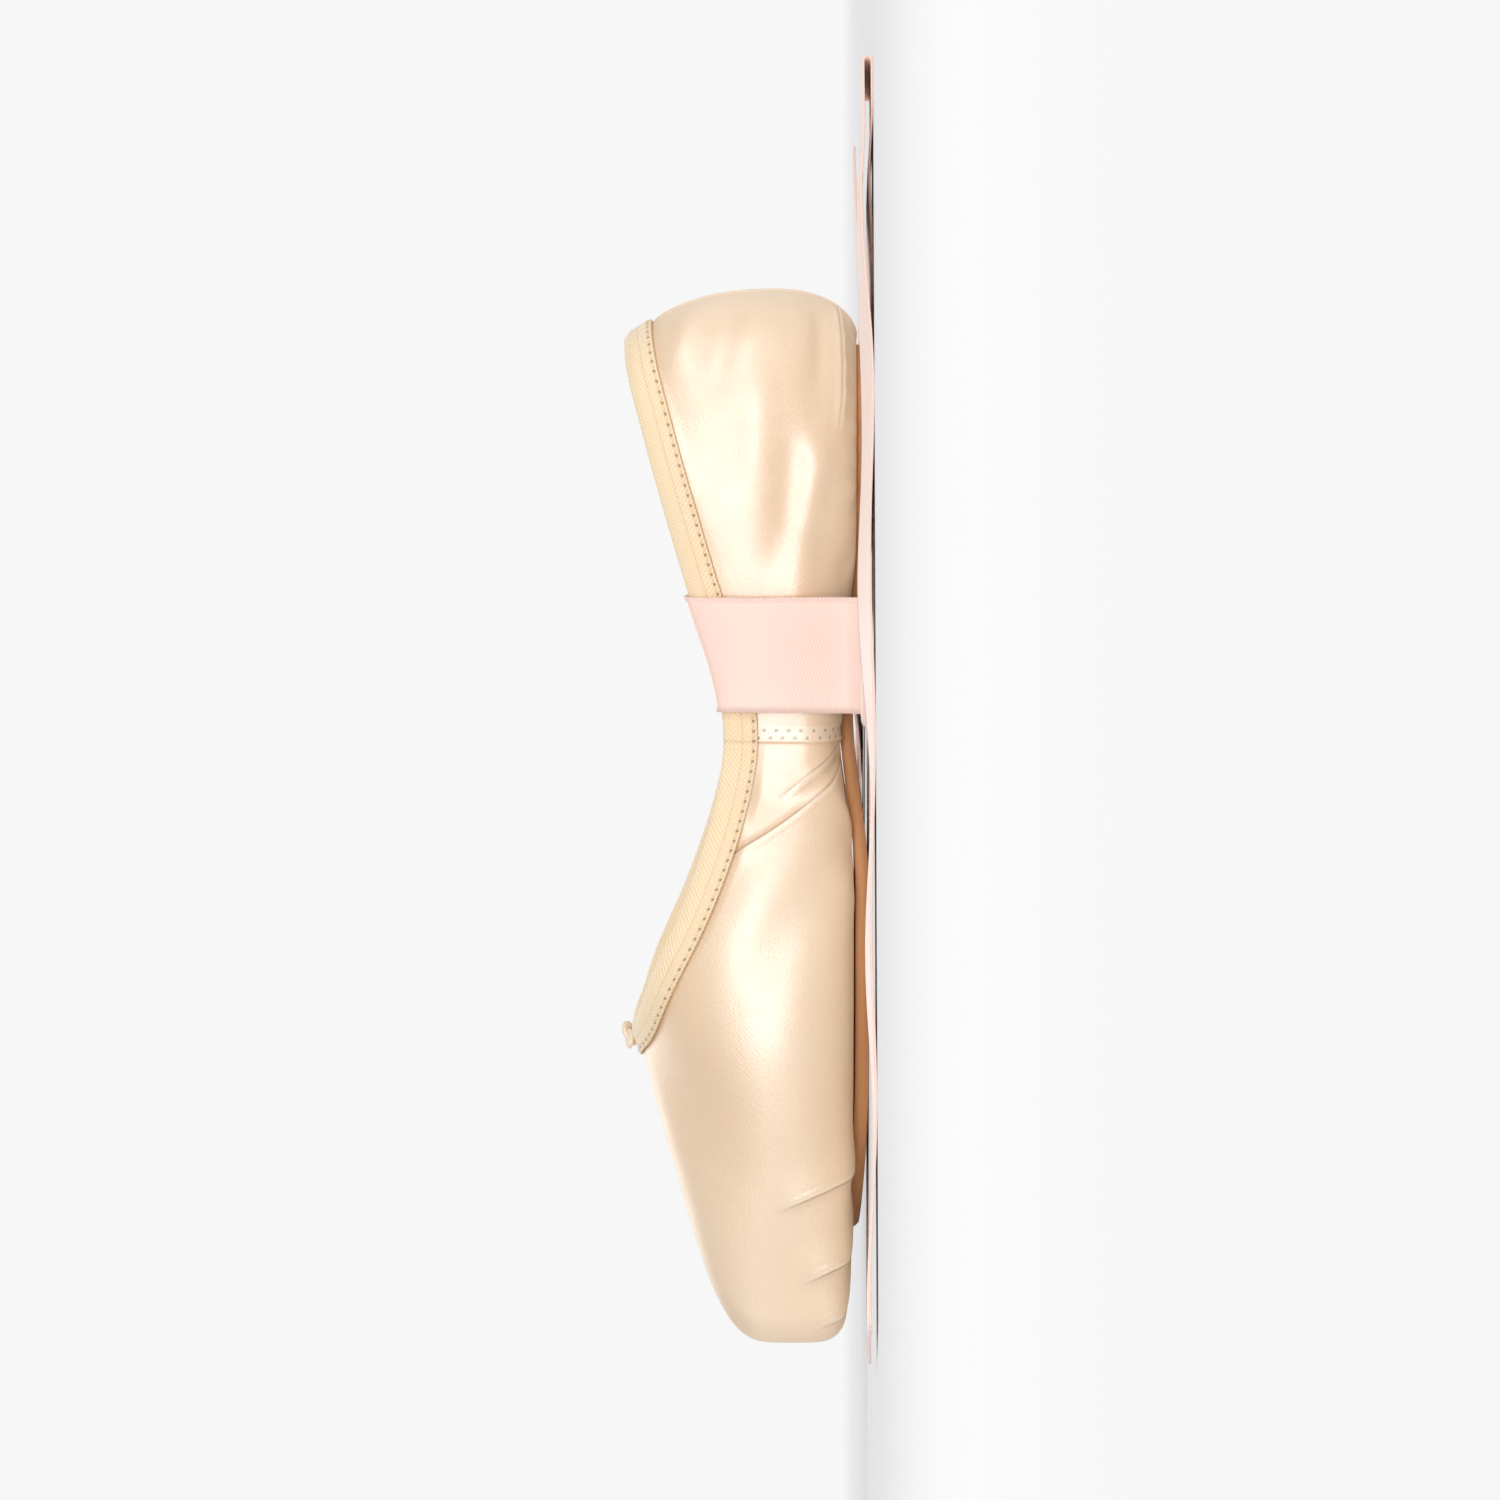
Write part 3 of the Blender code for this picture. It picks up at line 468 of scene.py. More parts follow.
def satin_relief(points, normal, around, drop):
    """How far the satin stands off the smooth last: folds, welt, puckers and dents.

    Then the pleats' edge lines, where the satin's finish paints a shade line and a highlight line: how strong
    the nearest is at each point, and how far off it the point is."""
    shape = points.shape[:2]
    flat_points = points.reshape(-1, 3)
    flat_normal = normal.reshape(-1, 3)
    height = np.zeros(len(flat_points))
    strength = np.zeros(len(flat_points))
    apart = np.full(len(flat_points), LAP_FAR)
    for fold in FOLDS:
        for side in (fold.side,) if fold.side else (1, -1):
            added, strong, across = fold_height(flat_points, flat_normal, fold, side)
            height += added
            nearer = (strong == strength) & (np.abs(across) < np.abs(apart))
            closer = (strong > strength) | nearer
            strength = np.where(closer, strong, strength)
            apart = np.where(closer, across, apart)
    height = height.reshape(shape)
    x, y, z = points[..., 0], points[..., 1], points[..., 2]
    welt = WELT_HEIGHT * np.exp(-((y / WELT_WIDTH) ** 4))
    groove = WELT_GROOVE * np.exp(-(((y - 2 * WELT_WIDTH) / WELT_WIDTH) ** 2))
    height += (1 - step(x, *WELT_END)) * (welt - groove)
    rise = drop[:, 1:2] - drop
    pucker = np.sin(2 * math.pi * around / PUCKER_PITCH + 1.7 * np.sin(around * 61))
    height += HEEL_PUCKER * (1 - step(x, *PUCKER_END)) * pucker * np.exp(-((rise / PUCKER_HEIGHT) ** 2))
    height += SAG * np.sin(x * 150 + z * 110 + 0.6) * np.sin(y * 120 - x * 60) * (1 - step(x, *SAG_END))
    height += SAG * 0.4 * np.sin(x * 95 - z * 130) * np.sin(y * 90 + z * 70)
    for row in STITCH_FROM_EDGE:
        height -= STITCH_DENT * np.exp(-(((x - SEAM + row) / STITCH_SPREAD) ** 2))
    edges = step(drop, *UNDER_BINDING) * step(rise, *ABOVE_MARGIN)
    return height * edges, strength.reshape(shape), apart.reshape(shape)


def laid(name, points, uv, materials, closed_rows=False, lining_from=None, fields=()):
    """Cloth or leather: a grid whose corners are moved to their places, and whose meeting sides merge.

    The rows from lining_from on take the second material. fields are named values that a material reads."""
    if closed_rows:
        points = np.concatenate([points, points[:, :1]], axis=1)
    columns, rows = points.shape[:2]
    bm = bmesh.new()
    bmesh.ops.create_grid(bm, x_segments=columns - 1, y_segments=rows - 1, size=0.5)
    spots = points.transpose(1, 0, 2).reshape(-1, 3)
    cloth = uv.transpose(1, 0, 2).reshape(-1, 2)
    layers = [(bm.verts.layers.float.new(field), values.transpose().reshape(-1)) for field, values in fields]
    for vert in bm.verts:
        vert.co = spots[vert.index]
        for layer, values in layers:
            vert[layer] = values[vert.index]
    layer = bm.loops.layers.uv.new("Cloth")
    for face in bm.faces:
        if lining_from:
            first = min(loop.vert.index for loop in face.loops)
            face.material_index = int(first // columns >= lining_from)
        for loop in face.loops:
            loop[layer].uv = cloth[loop.vert.index]
    bmesh.ops.remove_doubles(bm, verts=bm.verts[:], dist=MERGE_DISTANCE)
    bmesh.ops.recalc_face_normals(bm, faces=bm.faces[:])
    if closed_rows and bm.calc_volume(signed=True) < 0:
        bmesh.ops.reverse_faces(bm, faces=bm.faces[:])
    return piece_of(name, bm, materials)


def piece_of(name, bm, materials):
    mesh = bpy.data.meshes.new(name)
    bm.to_mesh(mesh)
    bm.free()
    for made in materials:
        mesh.materials.append(made)
    mesh.shade_smooth()
    mesh.set_sharp_from_angle(angle=math.radians(SHARP_ANGLE))
    piece = bpy.data.objects.new(name, mesh)
    bpy.context.collection.objects.link(piece)
    return piece


def fixed(piece, slot, *nodes):
    """The piece rides on the shoe and stands for these solids, which are hidden. slot is not used."""
    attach(piece, "root")
    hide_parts(*nodes)


def through(operation, swapped=False):
    """A method that puts a flow through one of the Math node's operations."""

    def method(self, *others):
        values = (*others, self) if swapped else (self, *others)
        return self.finish.node("Math", {"operation": operation}, dict(enumerate(values)))

    return method


class Flow:
    """A value, colour or vector on its way through a material, so that sums are written as sums."""

    __add__ = __radd__ = through("ADD")
    __sub__ = through("SUBTRACT")
    __rsub__ = through("SUBTRACT", swapped=True)
    __mul__ = __rmul__ = through("MULTIPLY")
    __truediv__ = through("DIVIDE")
    __abs__ = through("ABSOLUTE")
    fract = through("FRACT")
    sine = through("SINE")
    root = through("SQRT")
    most = through("MAXIMUM")

    def __init__(self, finish, socket):
        self.finish = finish
        self.socket = socket

    def between(self, start, end):
        """0 before start, 1 after end, with a soft turn between them."""
        settings = {"interpolation_type": "SMOOTHSTEP"}
        return self.finish.node("MapRange", settings, {"Value": self, "From Min": start, "From Max": end})

    def parts(self):
        made = self.finish.node("SeparateXYZ", {}, {0: self})
        return [Flow(self.finish, output) for output in made.socket.node.outputs]


class Finish:
    """A material, or the sky, as it is made up."""

    def __init__(self, name, kind="materials", shader="Principled BSDF", **constants):
        self.made = getattr(bpy.data, kind).new(name)
        self.made.use_nodes = True
        self.tree = self.made.node_tree
        self.shader = self.tree.nodes[shader]
        self.set(**constants)

    def plug(self, socket, value):
        if isinstance(value, Flow):
            self.tree.links.new(value.socket, socket)
        else:
            socket.default_value = value

    def set(self, **values):
        """Sets the shader's own sockets; Sheen_Weight stands for Sheen Weight."""
        for name, value in values.items():
            self.plug(self.shader.inputs[name.replace("_", " ")], value)

    def node(self, kind, settings, sockets, output=0):
        made = self.tree.nodes.new("ShaderNode" + kind)
        for name, value in settings.items():
            setattr(made, name, value)
        for name, value in sockets.items():
            self.plug(made.inputs[name], value)
        return Flow(self, made.outputs[output])

    def place(self):
        return self.node("TexCoord", {}, {}, "Object")

    def cloth(self):
        """Lengths along and across the piece, in metres."""
        return self.node("UVMap", {"uv_map": "Cloth"}, {})

    def noise(self, scale, detail, roughness=0.5):
        sockets = {"Vector": self.place(), "Scale": scale, "Detail": detail, "Roughness": roughness}
        return self.node("TexNoise", {}, sockets)

    def mix(self, share, first, second):
        return self.node("Mix", {"data_type": "RGBA"}, {0: share, 6: first, 7: second}, 2)

    def bump(self, height, distance, strength):
        return self.node("Bump", {}, {"Height": height, "Distance": distance, "Strength": strength})


SATIN = (0.860, 0.595, 0.350, 1)
SATIN_DEEP = (0.730, 0.430, 0.205, 1)
SATIN_PALE = (0.930, 0.735, 0.520, 1)
# Colour of the painted shade in the pleats' folds and the welt's groove.
CREASE_SHADE = (0.560, 0.330, 0.165, 1)
THREAD_HOLE = (0.330, 0.230, 0.150, 1)
COTTON = (0.930, 0.850, 0.750, 1)
COTTON_SHADE = (0.880, 0.770, 0.650, 1)
HOLE_PITCH = 0.0026
HOLE_RADIUS = 0.00034
SEAM_BAND = 0.0038
LAP_LINE = 0.00030


def needle_holes(beside, run, pitch, core, shift=0.0):
    """Holes at this pitch along the line where beside is 0, dark to this share of their radius."""
    down = ((run / pitch + shift).fract() - 0.5) * pitch
    return 1 - (beside * beside + down * down).root().between(HOLE_RADIUS * core, HOLE_RADIUS * 1.3)


def satin_finish():
    """Peach satin: smooth floats of silk with a soft gleam and a faint slub, paler behind the side seam. It
    has painted shade and painted highlight lines along the pleats, painted shade in the groove beside the
    welt and a painted shadow beside the seam's lapped edge.
    """
    satin = Finish("peach satin", Specular_IOR_Level=1.0, IOR=2.2, Anisotropic=0.3)
    x, y = satin.place().parts()[:2]
    along, drop = satin.cloth().parts()[:2]
    cloudy = satin.noise(24, 2).between(0.35, 0.75)
    colour = satin.mix(cloudy * 0.35, SATIN, SATIN_PALE)
    slub = satin.noise(1500, 3, roughness=0.7)
    colour = satin.mix((slub - 0.5).between(0.0, 0.35) * 0.30, colour, SATIN_DEEP)
    pleat = satin.node("Attribute", {"attribute_name": "Pleat"}, {}, "Fac")
    apart = satin.node("Attribute", {"attribute_name": "PleatApart"}, {}, "Fac")
    # Painted shade in the foot of each pleat's steep fall, and a painted highlight on its crest beside it.
    dark = pleat * (1 - abs(apart + LAP_LINE).between(0.00010, 0.00045))
    pale = pleat * (1 - abs(apart - LAP_LINE).between(0.00010, 0.00050))
    colour = satin.mix(dark * 0.80, colour, CREASE_SHADE)
    colour = satin.mix(pale * 0.80, colour, SATIN_PALE)
    # Painted shade in the groove beside the centre-back welt.
    y_welt = abs(y - 1.6 * WELT_WIDTH)
    behind = 1 - x.between(BACK + 0.010, BACK + 0.018)
    colour = satin.mix((1 - y_welt.between(0.0001, 0.0004)) * behind * 0.6, colour, CREASE_SHADE)
    from_seam = SEAM - x
    band = from_seam.between(-0.0001, 0.0002) * (1 - from_seam.between(SEAM_BAND - 0.0003, SEAM_BAND))
    colour = satin.mix(band * 0.65, colour, SATIN_PALE)
    shadow = (-1 * from_seam).between(-0.0002, 0.0) * (1 - (-1 * from_seam).between(0.0003, 0.0011))
    colour = satin.mix(shadow * 0.45, colour, SATIN_DEEP)
    holes = needle_holes(from_seam - STITCH_FROM_EDGE[0], drop, HOLE_PITCH, 0.6)
    holes = holes.most(needle_holes(from_seam - STITCH_FROM_EDGE[1], drop, HOLE_PITCH, 0.6, 0.5))
    colour = satin.mix(holes * 0.75, colour, THREAD_HOLE)
    weave = (along * 14000).sine() * (drop * 5200).sine()
    height = weave * 0.15 + slub * 1.2 - holes * 2.0 + pleat * apart.between(-0.00035, 0.00010) * 2.5
    satin.set(Base_Color=colour, Roughness=0.40 + 0.12 * satin.noise(160, 3))
    satin.set(Normal=satin.bump(height, 0.00012, 0.55))
    return satin.made


def lining_finish():
    """Plain cotton drill: a fine over-and-under weave, matt and a little uneven."""
    cotton = Finish("cotton lining", Roughness=0.9, Sheen_Weight=0.2, Specular_IOR_Level=0.25)
    x, y, z = cotton.place().parts()[:3]
    warp = ((x + y) * 5200).sine() * (z * 5200).sine()
    shade = cotton.noise(60, 4)
    colour = cotton.mix(shade.between(0.3, 0.8), COTTON, COTTON_SHADE)
    cotton.set(Base_Color=colour, Normal=cotton.bump(warp, 0.00012, 0.4))
    return cotton.made


COLLAR_EASE = 0.008
EASE_DEPTH = 0.030


def collar_easing(rim):
    """How far each column's top moves, so that the drawn collar runs in one even curve round the opening."""
    run = lengths_along(rim[:, None], 0)[:, 0]
    gap = np.diff(run)
    apart = (run[:, None] - run[:-1] + run[-1] / 2) % run[-1] - run[-1] / 2
    weight = np.exp(-((apart / COLLAR_EASE) ** 2)) * (gap + np.roll(gap, 1))
    return weight @ rim[:-1] / weight.sum(axis=1, keepdims=True) - rim


half = [Column(point) for point in column_points()]
base = both_sides(np.array([column.rows() for column in half]))
rows_down = lengths_along(base[:, ::-1], 1)[:, ::-1]
easing = collar_easing(base[:, -1])
base += easing[:, None] * (1 - step(rows_down, 0, EASE_DEPTH))[:, :, None]
skin_normal = normals_of(base, closed=True)
around_rows = np.broadcast_to(lengths_along(base[:, -1:], 0), rows_down.shape)
proud = both_values(np.array([column.step for column in half]))
relief, pleated, pleat_apart = satin_relief(base, skin_normal, around_rows, rows_down)
lining_blank = np.zeros((len(base), LINING_ROWS + 1))
rise_rows = np.ones(base.shape[1])
rise_rows[:2] = 0
outer = base + skin_normal * ((proud[:, None] + relief) * rise_rows)[:, :, None]
inner = base - skin_normal * wall_at(base[:, :, :1])
lining_rows = np.unique(np.linspace(0, base.shape[1] - 1, LINING_ROWS).astype(int))[::-1]
upper_uv = np.stack([around_rows, rows_down], axis=2)
upper = laid(
    "satin_upper",
    np.concatenate([outer, inner[:, lining_rows]], axis=1),
    np.concatenate([upper_uv, upper_uv[:, lining_rows], upper_uv[:, :1]], axis=1),
    [satin_finish(), lining_finish()],
    closed_rows=True,
    lining_from=base.shape[1] - 1,
    fields=(
        ("Pleat", np.concatenate([pleated, lining_blank], axis=1)),
        ("PleatApart", np.concatenate([pleat_apart, lining_blank + LAP_FAR], axis=1)),
    ),
)
fixed(upper, "satin", "upper")


# The outsole: one piece of tan leather with a skived edge, stitched on through a channel. Two rows of white
# thread run round the forefoot and one round the rest, and the maker scores the tread in diamonds for grip.
SOLE_SKIVE = 0.0012
STITCH_INSETS = (0.0030, 0.0045)
STITCH_PITCH = 0.0042
STITCH_LENGTH = 0.0034
STITCH_WIDTH = 0.0007
STITCH_FLAT = 0.4
CHANNEL_DEPTH = 0.0005
THREAD_DEPTH = 0.55 * CHANNEL_DEPTH
SOLE_EDGE_ROUND = 0.0003
FLAT_INSET = 0.0060
INNER_SHARES = (0, 0.12, 0.25, 0.38, 0.50, 0.62, 0.73, 0.83, 0.91, 0.97)
EdgeRow = namedtuple("EdgeRow", "inset height")
EDGE_ROWS = (
    EdgeRow(0.0056, 0),
    EdgeRow(0.0053, 0),
    EdgeRow(0.0047, CHANNEL_DEPTH),
    EdgeRow(0.0037, 0.85 * CHANNEL_DEPTH),
    EdgeRow(0.0028, CHANNEL_DEPTH),
    EdgeRow(0.0022, 0),
    EdgeRow(0.0017, 0),
    EdgeRow(SOLE_SKIVE, 0.00005),
    EdgeRow(0.60 * SOLE_SKIVE, 0.35 * SOLE_SKIVE),
    EdgeRow(0.25 * SOLE_SKIVE, 0.75 * SOLE_SKIVE),
    EdgeRow(0, SOLE_SKIVE),
    EdgeRow(0, 0.7 * SOLE_THICKNESS),
    EdgeRow(0, SOLE_THICKNESS - SOLE_EDGE_ROUND),
    EdgeRow(SOLE_EDGE_ROUND, SOLE_THICKNESS),
    EdgeRow(0.0040, SOLE_THICKNESS),
)
RIM_ROW = len(INNER_SHARES) + 8
DIAMOND_LENGTH = 0.0080
DIAMOND_WIDTH = 0.0070
SCORED_FROM = 0.005
SECOND_ROW_FROM = SCORED_FROM - 0.012
SCORED_INSET = 0.0056
SCORE_WANDER = 0.0006
LEATHER = (0.735, 0.405, 0.215, 1)
LEATHER_PINK = (0.790, 0.480, 0.330, 1)
LEATHER_RIM = (0.560, 0.250, 0.085, 1)
SCORE = (0.330, 0.130, 0.040, 1)
THREAD = (0.880, 0.860, 0.830, 1)
THREAD_SHADE = (0.62, 0.56, 0.50, 1)


def leather_finish():
    """Buffed tan leather with a soft nap, a burnished rim and scored diamonds under the ball."""
    leather = Finish("tan sole leather", Specular_IOR_Level=0.3, Sheen_Weight=0.12)
    x, y, z = leather.place().parts()[:3]
    inset = leather.cloth().parts()[1]
    wander = leather.noise(260, 2) * SCORE_WANDER
    colour = leather.mix(leather.noise(45, 4).between(0.35, 0.70), LEATHER, LEATHER_PINK)
    nap = leather.noise(1300, 4, roughness=0.7)
    colour = leather.mix((nap - 0.45).between(0.0, 0.35) * 0.30, colour, LEATHER_RIM)
    lines = []
    for hand in (1, -1):
        lean = x / DIAMOND_LENGTH + hand * (y + wander) / DIAMOND_WIDTH
        away = abs(lean.fract() - 0.5) * (DIAMOND_WIDTH * 0.75)
        lines.append(1 - away.between(0.00008, 0.00034))
    scored = x.between(SCORED_FROM, SCORED_FROM + 0.0005) * inset.between(SCORED_INSET, SCORED_INSET + 0.0003)
    uneven = leather.noise(420, 2).between(0.30, 0.50)
    lines = lines[0].most(lines[1]) * scored * (0.45 + 0.55 * uneven) * (1 - z.between(0.0026, 0.0028))
    colour = leather.mix(lines * 0.85, colour, SCORE)
    rim = 1 - inset.between(0.0006, 0.0022)
    colour = leather.mix(rim * 0.75, colour, LEATHER_RIM)
    leather.set(Base_Color=colour, Roughness=0.72 - 0.20 * rim + 0.10 * nap)
    leather.set(Normal=leather.bump(nap * 0.5 - lines * 2.5, 0.00022, 0.6))
    return leather.made


def sole_rows(column):
    """The bottom from the middle line to the skive, the edge and the top, and each row's inset."""
    edge = column.sole_edge
    rows = [(share * (edge - FLAT_INSET), 0.0) for share in INNER_SHARES]
    rows += [(edge - row.inset, row.height) for row in EDGE_ROWS]
    rows += [(share * (edge - FLAT_INSET), SOLE_THICKNESS) for share in (*INNER_SHARES[::-2], 0)]
    distance, height = np.array(rows).T
    return column.at(distance, height + column.sole_line(distance)), edge - distance


sole_points, sole_insets = zip(*(sole_rows(column) for column in half[::2]))
sole_grid = both_sides(np.array(sole_points))
sole_inset = both_values(np.array(sole_insets))
sole_around = np.broadcast_to(lengths_along(sole_grid[:, RIM_ROW : RIM_ROW + 1], 0), sole_inset.shape)
sole_uv = np.stack([sole_around, sole_inset], axis=2)
outsole = laid("leather_outsole", sole_grid, sole_uv, [leather_finish()])
fixed(outsole, "sole_leather", "outsole")


def thread_finish(name, colour):
    """Waxed cotton thread, twisted from two plies."""
    thread = Finish(name, Roughness=0.6, Sheen_Weight=0.3)
    x, y, z = thread.place().parts()[:3]
    plies = ((x + y + z) * 9000).sine()
    shade = thread.mix(thread.noise(900, 2).between(0.3, 0.7) * 0.3, colour, THREAD_SHADE)
    thread.set(Base_Color=shade, Normal=thread.bump(plies, 0.00008, 0.4))
    return thread.made


def stitches(name, paths, finish):
    """Rows of short threads laid end to end along paths on the sole's bottom, each a few-sided bead."""
    bm = bmesh.new()
    for points in paths:
        run = run_of(points)
        count = int(run[-1] / STITCH_PITCH)
        for i in range(count):
            middle = (i + 0.5) * run[-1] / count
            at = (middle - STITCH_LENGTH / 2, middle, middle + STITCH_LENGTH / 2)
            first, spot, last = np.stack([np.interp(at, run, points[:, k]) for k in range(3)], axis=1)
            along = Vector(last - first).normalized()
            across = Vector((0, 0, -1)).cross(along).normalized()
            out = along.cross(across)
            axes = (along * STITCH_LENGTH / 2, across * STITCH_WIDTH / 2, out * STITCH_WIDTH * STITCH_FLAT)
            turn = Matrix(axes).transposed().to_4x4()
            turn.translation = Vector(spot)
            bmesh.ops.create_uvsphere(bm, u_segments=8, v_segments=6, radius=1, matrix=turn)
    return piece_of(name, bm, [finish])


def sole_path(inset, from_x=BACK):
    """Along the sole's edge at this inset, level with the thread in its channel."""
    points = []
    for column in half:
        distance = column.sole_edge - inset
        points.append(column.at(distance, THREAD_DEPTH + column.sole_line(distance))[0])
    points = both_sides(np.array(points))
    return points[points[:, 0] > from_x]


sole_thread = stitches(
    "sole_stitches",
    [sole_path(STITCH_INSETS[0]), sole_path(STITCH_INSETS[1], SECOND_ROW_FROM)],
    thread_finish("white sole thread", THREAD),
)
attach(sole_thread, "root")


# The insole: a stiff footbed under a cotton sock. It lies inside the shoe on the upper's lasted margin, and
# is dished up at its edge as the inside of the upper is.
INSOLE_THICKNESS = 0.0020
INSOLE_LAP = 0.0030
INSOLE_SHARES = (0, 0.2, 0.4, 0.58, 0.74, 0.87, 0.95, 1)
LAP_SHARES = (0.25, 0.5, 0.75, 1)
SOCK = (0.790, 0.660, 0.520, 1)
SOCK_RUBBED = (0.70, 0.56, 0.42, 1)


def sock_finish():
    """Cotton twill glued over the board, a little darker where it is rubbed."""
    sock = Finish("insole cotton", Roughness=0.92, Specular_IOR_Level=0.2, Sheen_Weight=0.2)
    x, y = sock.place().parts()[:2]
    twill = ((x + y) * 3800).sine() + ((x - y * 0.6) * 6100).sine() * 0.4
    rubbed = sock.noise(35, 4).between(0.35, 0.75)
    colour = sock.mix(rubbed * 0.7, SOCK, SOCK_RUBBED)
    sock.set(Base_Color=colour, Normal=sock.bump(twill, 0.00015, 0.5))
    return sock.made


def footbed_rows(column, wall):
    """The footbed's section: over its top, round its edge and back under it, on the upper's inner wall."""
    distance = (wall[:, :2] - column.pivot) @ column.out
    edge = column.sole_edge
    lap = [edge + INSOLE_LAP * share for share in LAP_SHARES]
    low = np.array([share * edge for share in INSOLE_SHARES] + lap)
    flat = BOTTOM + wall_at(column.pivot[0] + column.out[0] * low) + column.sole_line(low)
    height = np.maximum(flat, np.interp(low, distance, wall[:, 2])) + 2 * CLEARANCE
    under = column.at(low, height)
    over = column.at(low, height + INSOLE_THICKNESS)
    rounded = column.at(low[-1] + CLEARANCE / 2, height[-1] + INSOLE_THICKNESS / 2)
    return np.concatenate([over, rounded, under[::-1]])


lower_wall = inner[: len(half) : 2, : LOWER_ROWS + 2]
footbed = both_sides(np.array([footbed_rows(*pair) for pair in zip(half[::2], lower_wall)]))
insole = laid("cotton_insole", footbed, footbed[:, :, :2], [sock_finish()])
fixed(insole, "insole_cotton", "insole")


# The collar binding: a herringbone twill tape folded over the raw edge and sewn down with one row. The
# drawstring runs in the fold, and draws the tape into a small gather at the throat.
TAPE_THICKNESS = 0.0008
TAPE_INSIDE = 0.0045
TAPE_INSIDE_ROWS = 6
TAPE_CLEARANCE = 0.0004
TAPE_SEWN = 0.0008
TAPE_PITCH = 0.0022
CORD_BULGE = 0.00035
TAPE_PRESSED = (0, 0, 0, 0, 0, 0.00005, 0.00015, 0.00040)
CORD_PLACE = 0.0016
RIB_PITCH = 0.0011
RIB_LEAN = 1.1
TAPE = (0.925, 0.700, 0.430, 1)
TAPE_PALE = (0.965, 0.790, 0.560, 1)
TAPE_DARK = (0.650, 0.420, 0.210, 1)
GATHER_WIDTH = 0.0045
GATHER_PUCKER = 0.00022
CORD_SPREAD = 0.0009


def tape_finish():
    """Cream cotton tape: ribs that lean one way above its spine and the other way below, as a herringbone."""
    tape = Finish("herringbone tape", Roughness=0.78, Specular_IOR_Level=0.3, Sheen_Weight=0.3)
    along, across = tape.cloth().parts()[:2]
    lean = abs(across - BINDING_DEPTH / 2)
    ribs = ((along + lean * RIB_LEAN) * (2 * math.pi / RIB_PITCH)).sine()
    spine = 1 - lean.between(0.00005, 0.00030)
    beside = across - TAPE_SEWN
    holes = needle_holes(beside, along, TAPE_PITCH, 0.5)
    row = 1 - abs(beside).between(0.0001, 0.0005)
    colour = tape.mix(ribs.between(-0.6, 0.9), TAPE, TAPE_PALE)
    colour = tape.mix(tape.noise(70, 3).between(0.4, 0.7) * 0.25, colour, TAPE)
    colour = tape.mix((spine * 0.25).most(row * 0.30), colour, TAPE_DARK)
    colour = tape.mix(holes * 0.8, colour, THREAD_HOLE)
    edge = 1 - across.between(0.0, 0.00025)
    colour = tape.mix(edge * 0.5, colour, TAPE_DARK)
    tape.set(Base_Color=colour)
    tape.set(Normal=tape.bump(ribs * 0.5 - row * 0.8 - holes * 1.5 - spine * 0.5, 0.00016, 0.7))
    return tape.made


def over_rim(points, normal, inside, outside, proud, turns):
    """Up the inside of the wall, over the collar and down the outside, as far off each as proud says."""
    up = points[0] - points[1]
    up /= np.linalg.norm(up)
    inner, outer, top = proud
    middle = points[0] + normal[0] * (outer - inner) / 2
    bend = (outer + inner) / 2
    path = [points[i] - normal[i] * inner for i in range(inside - 1, 0, -1)]
    for a in np.linspace(0, math.pi, turns):
        path.append(middle - normal[0] * bend * math.cos(a) + up * top * math.sin(a))
    return path + [points[i] + normal[i] * outer for i in range(1, outside)]


tape_drops = np.array([0, 0.0008, 0.0016, 0.0024, 0.0033, TAPE_INSIDE, 0.0052, 0.0059, BINDING_DEPTH])
rim_points = both_sides(np.array([column.from_rim(tape_drops) for column in half]))
rim_points += easing[:, None] * (1 - step(tape_drops, 0, EASE_DEPTH))[:, None]
rim_normal = -normals_of(rim_points, closed=True)
collar_run = lengths_along(rim_points[:, :1], 0)[:, 0]
tape_grid = []
tape_uv = []
for c, (points, normal) in enumerate(zip(rim_points, rim_normal)):
    wall = wall_at(points[0][0])
    gather = math.exp(-((points[0][1] / GATHER_WIDTH) ** 2)) * (points[0][0] > TOE_PIVOT)
    pucker = GATHER_PUCKER * gather * math.sin(points[0][1] * 3600)
    skins = []
    for off in (TAPE_CLEARANCE + TAPE_THICKNESS, TAPE_CLEARANCE):
        sides = (wall + off, proud[c] + off, off)
        skins.append(np.array(over_rim(points, normal, TAPE_INSIDE_ROWS, len(tape_drops), sides, 9)))
    cord = CORD_BULGE * np.exp(-(((tape_drops[1:] - CORD_PLACE) / CORD_SPREAD) ** 2)) + pucker
    skins[0][1 - len(tape_drops) :] += normal[1:] * (cord - np.array(TAPE_PRESSED))[:, None]
    outside = run_of(skins[0][::-1])[::-1]
    across = np.concatenate([outside, outside[::-1], outside[:1]])
    tape_grid.append(np.concatenate([skins[0], skins[1][::-1]]))
    tape_uv.append(np.stack([np.full(len(across), collar_run[c]), across], axis=1))
binding = laid("twill_binding", np.array(tape_grid), np.array(tape_uv), [tape_finish()], closed_rows=True)
fixed(binding, "twill_tape", "collar_binding")


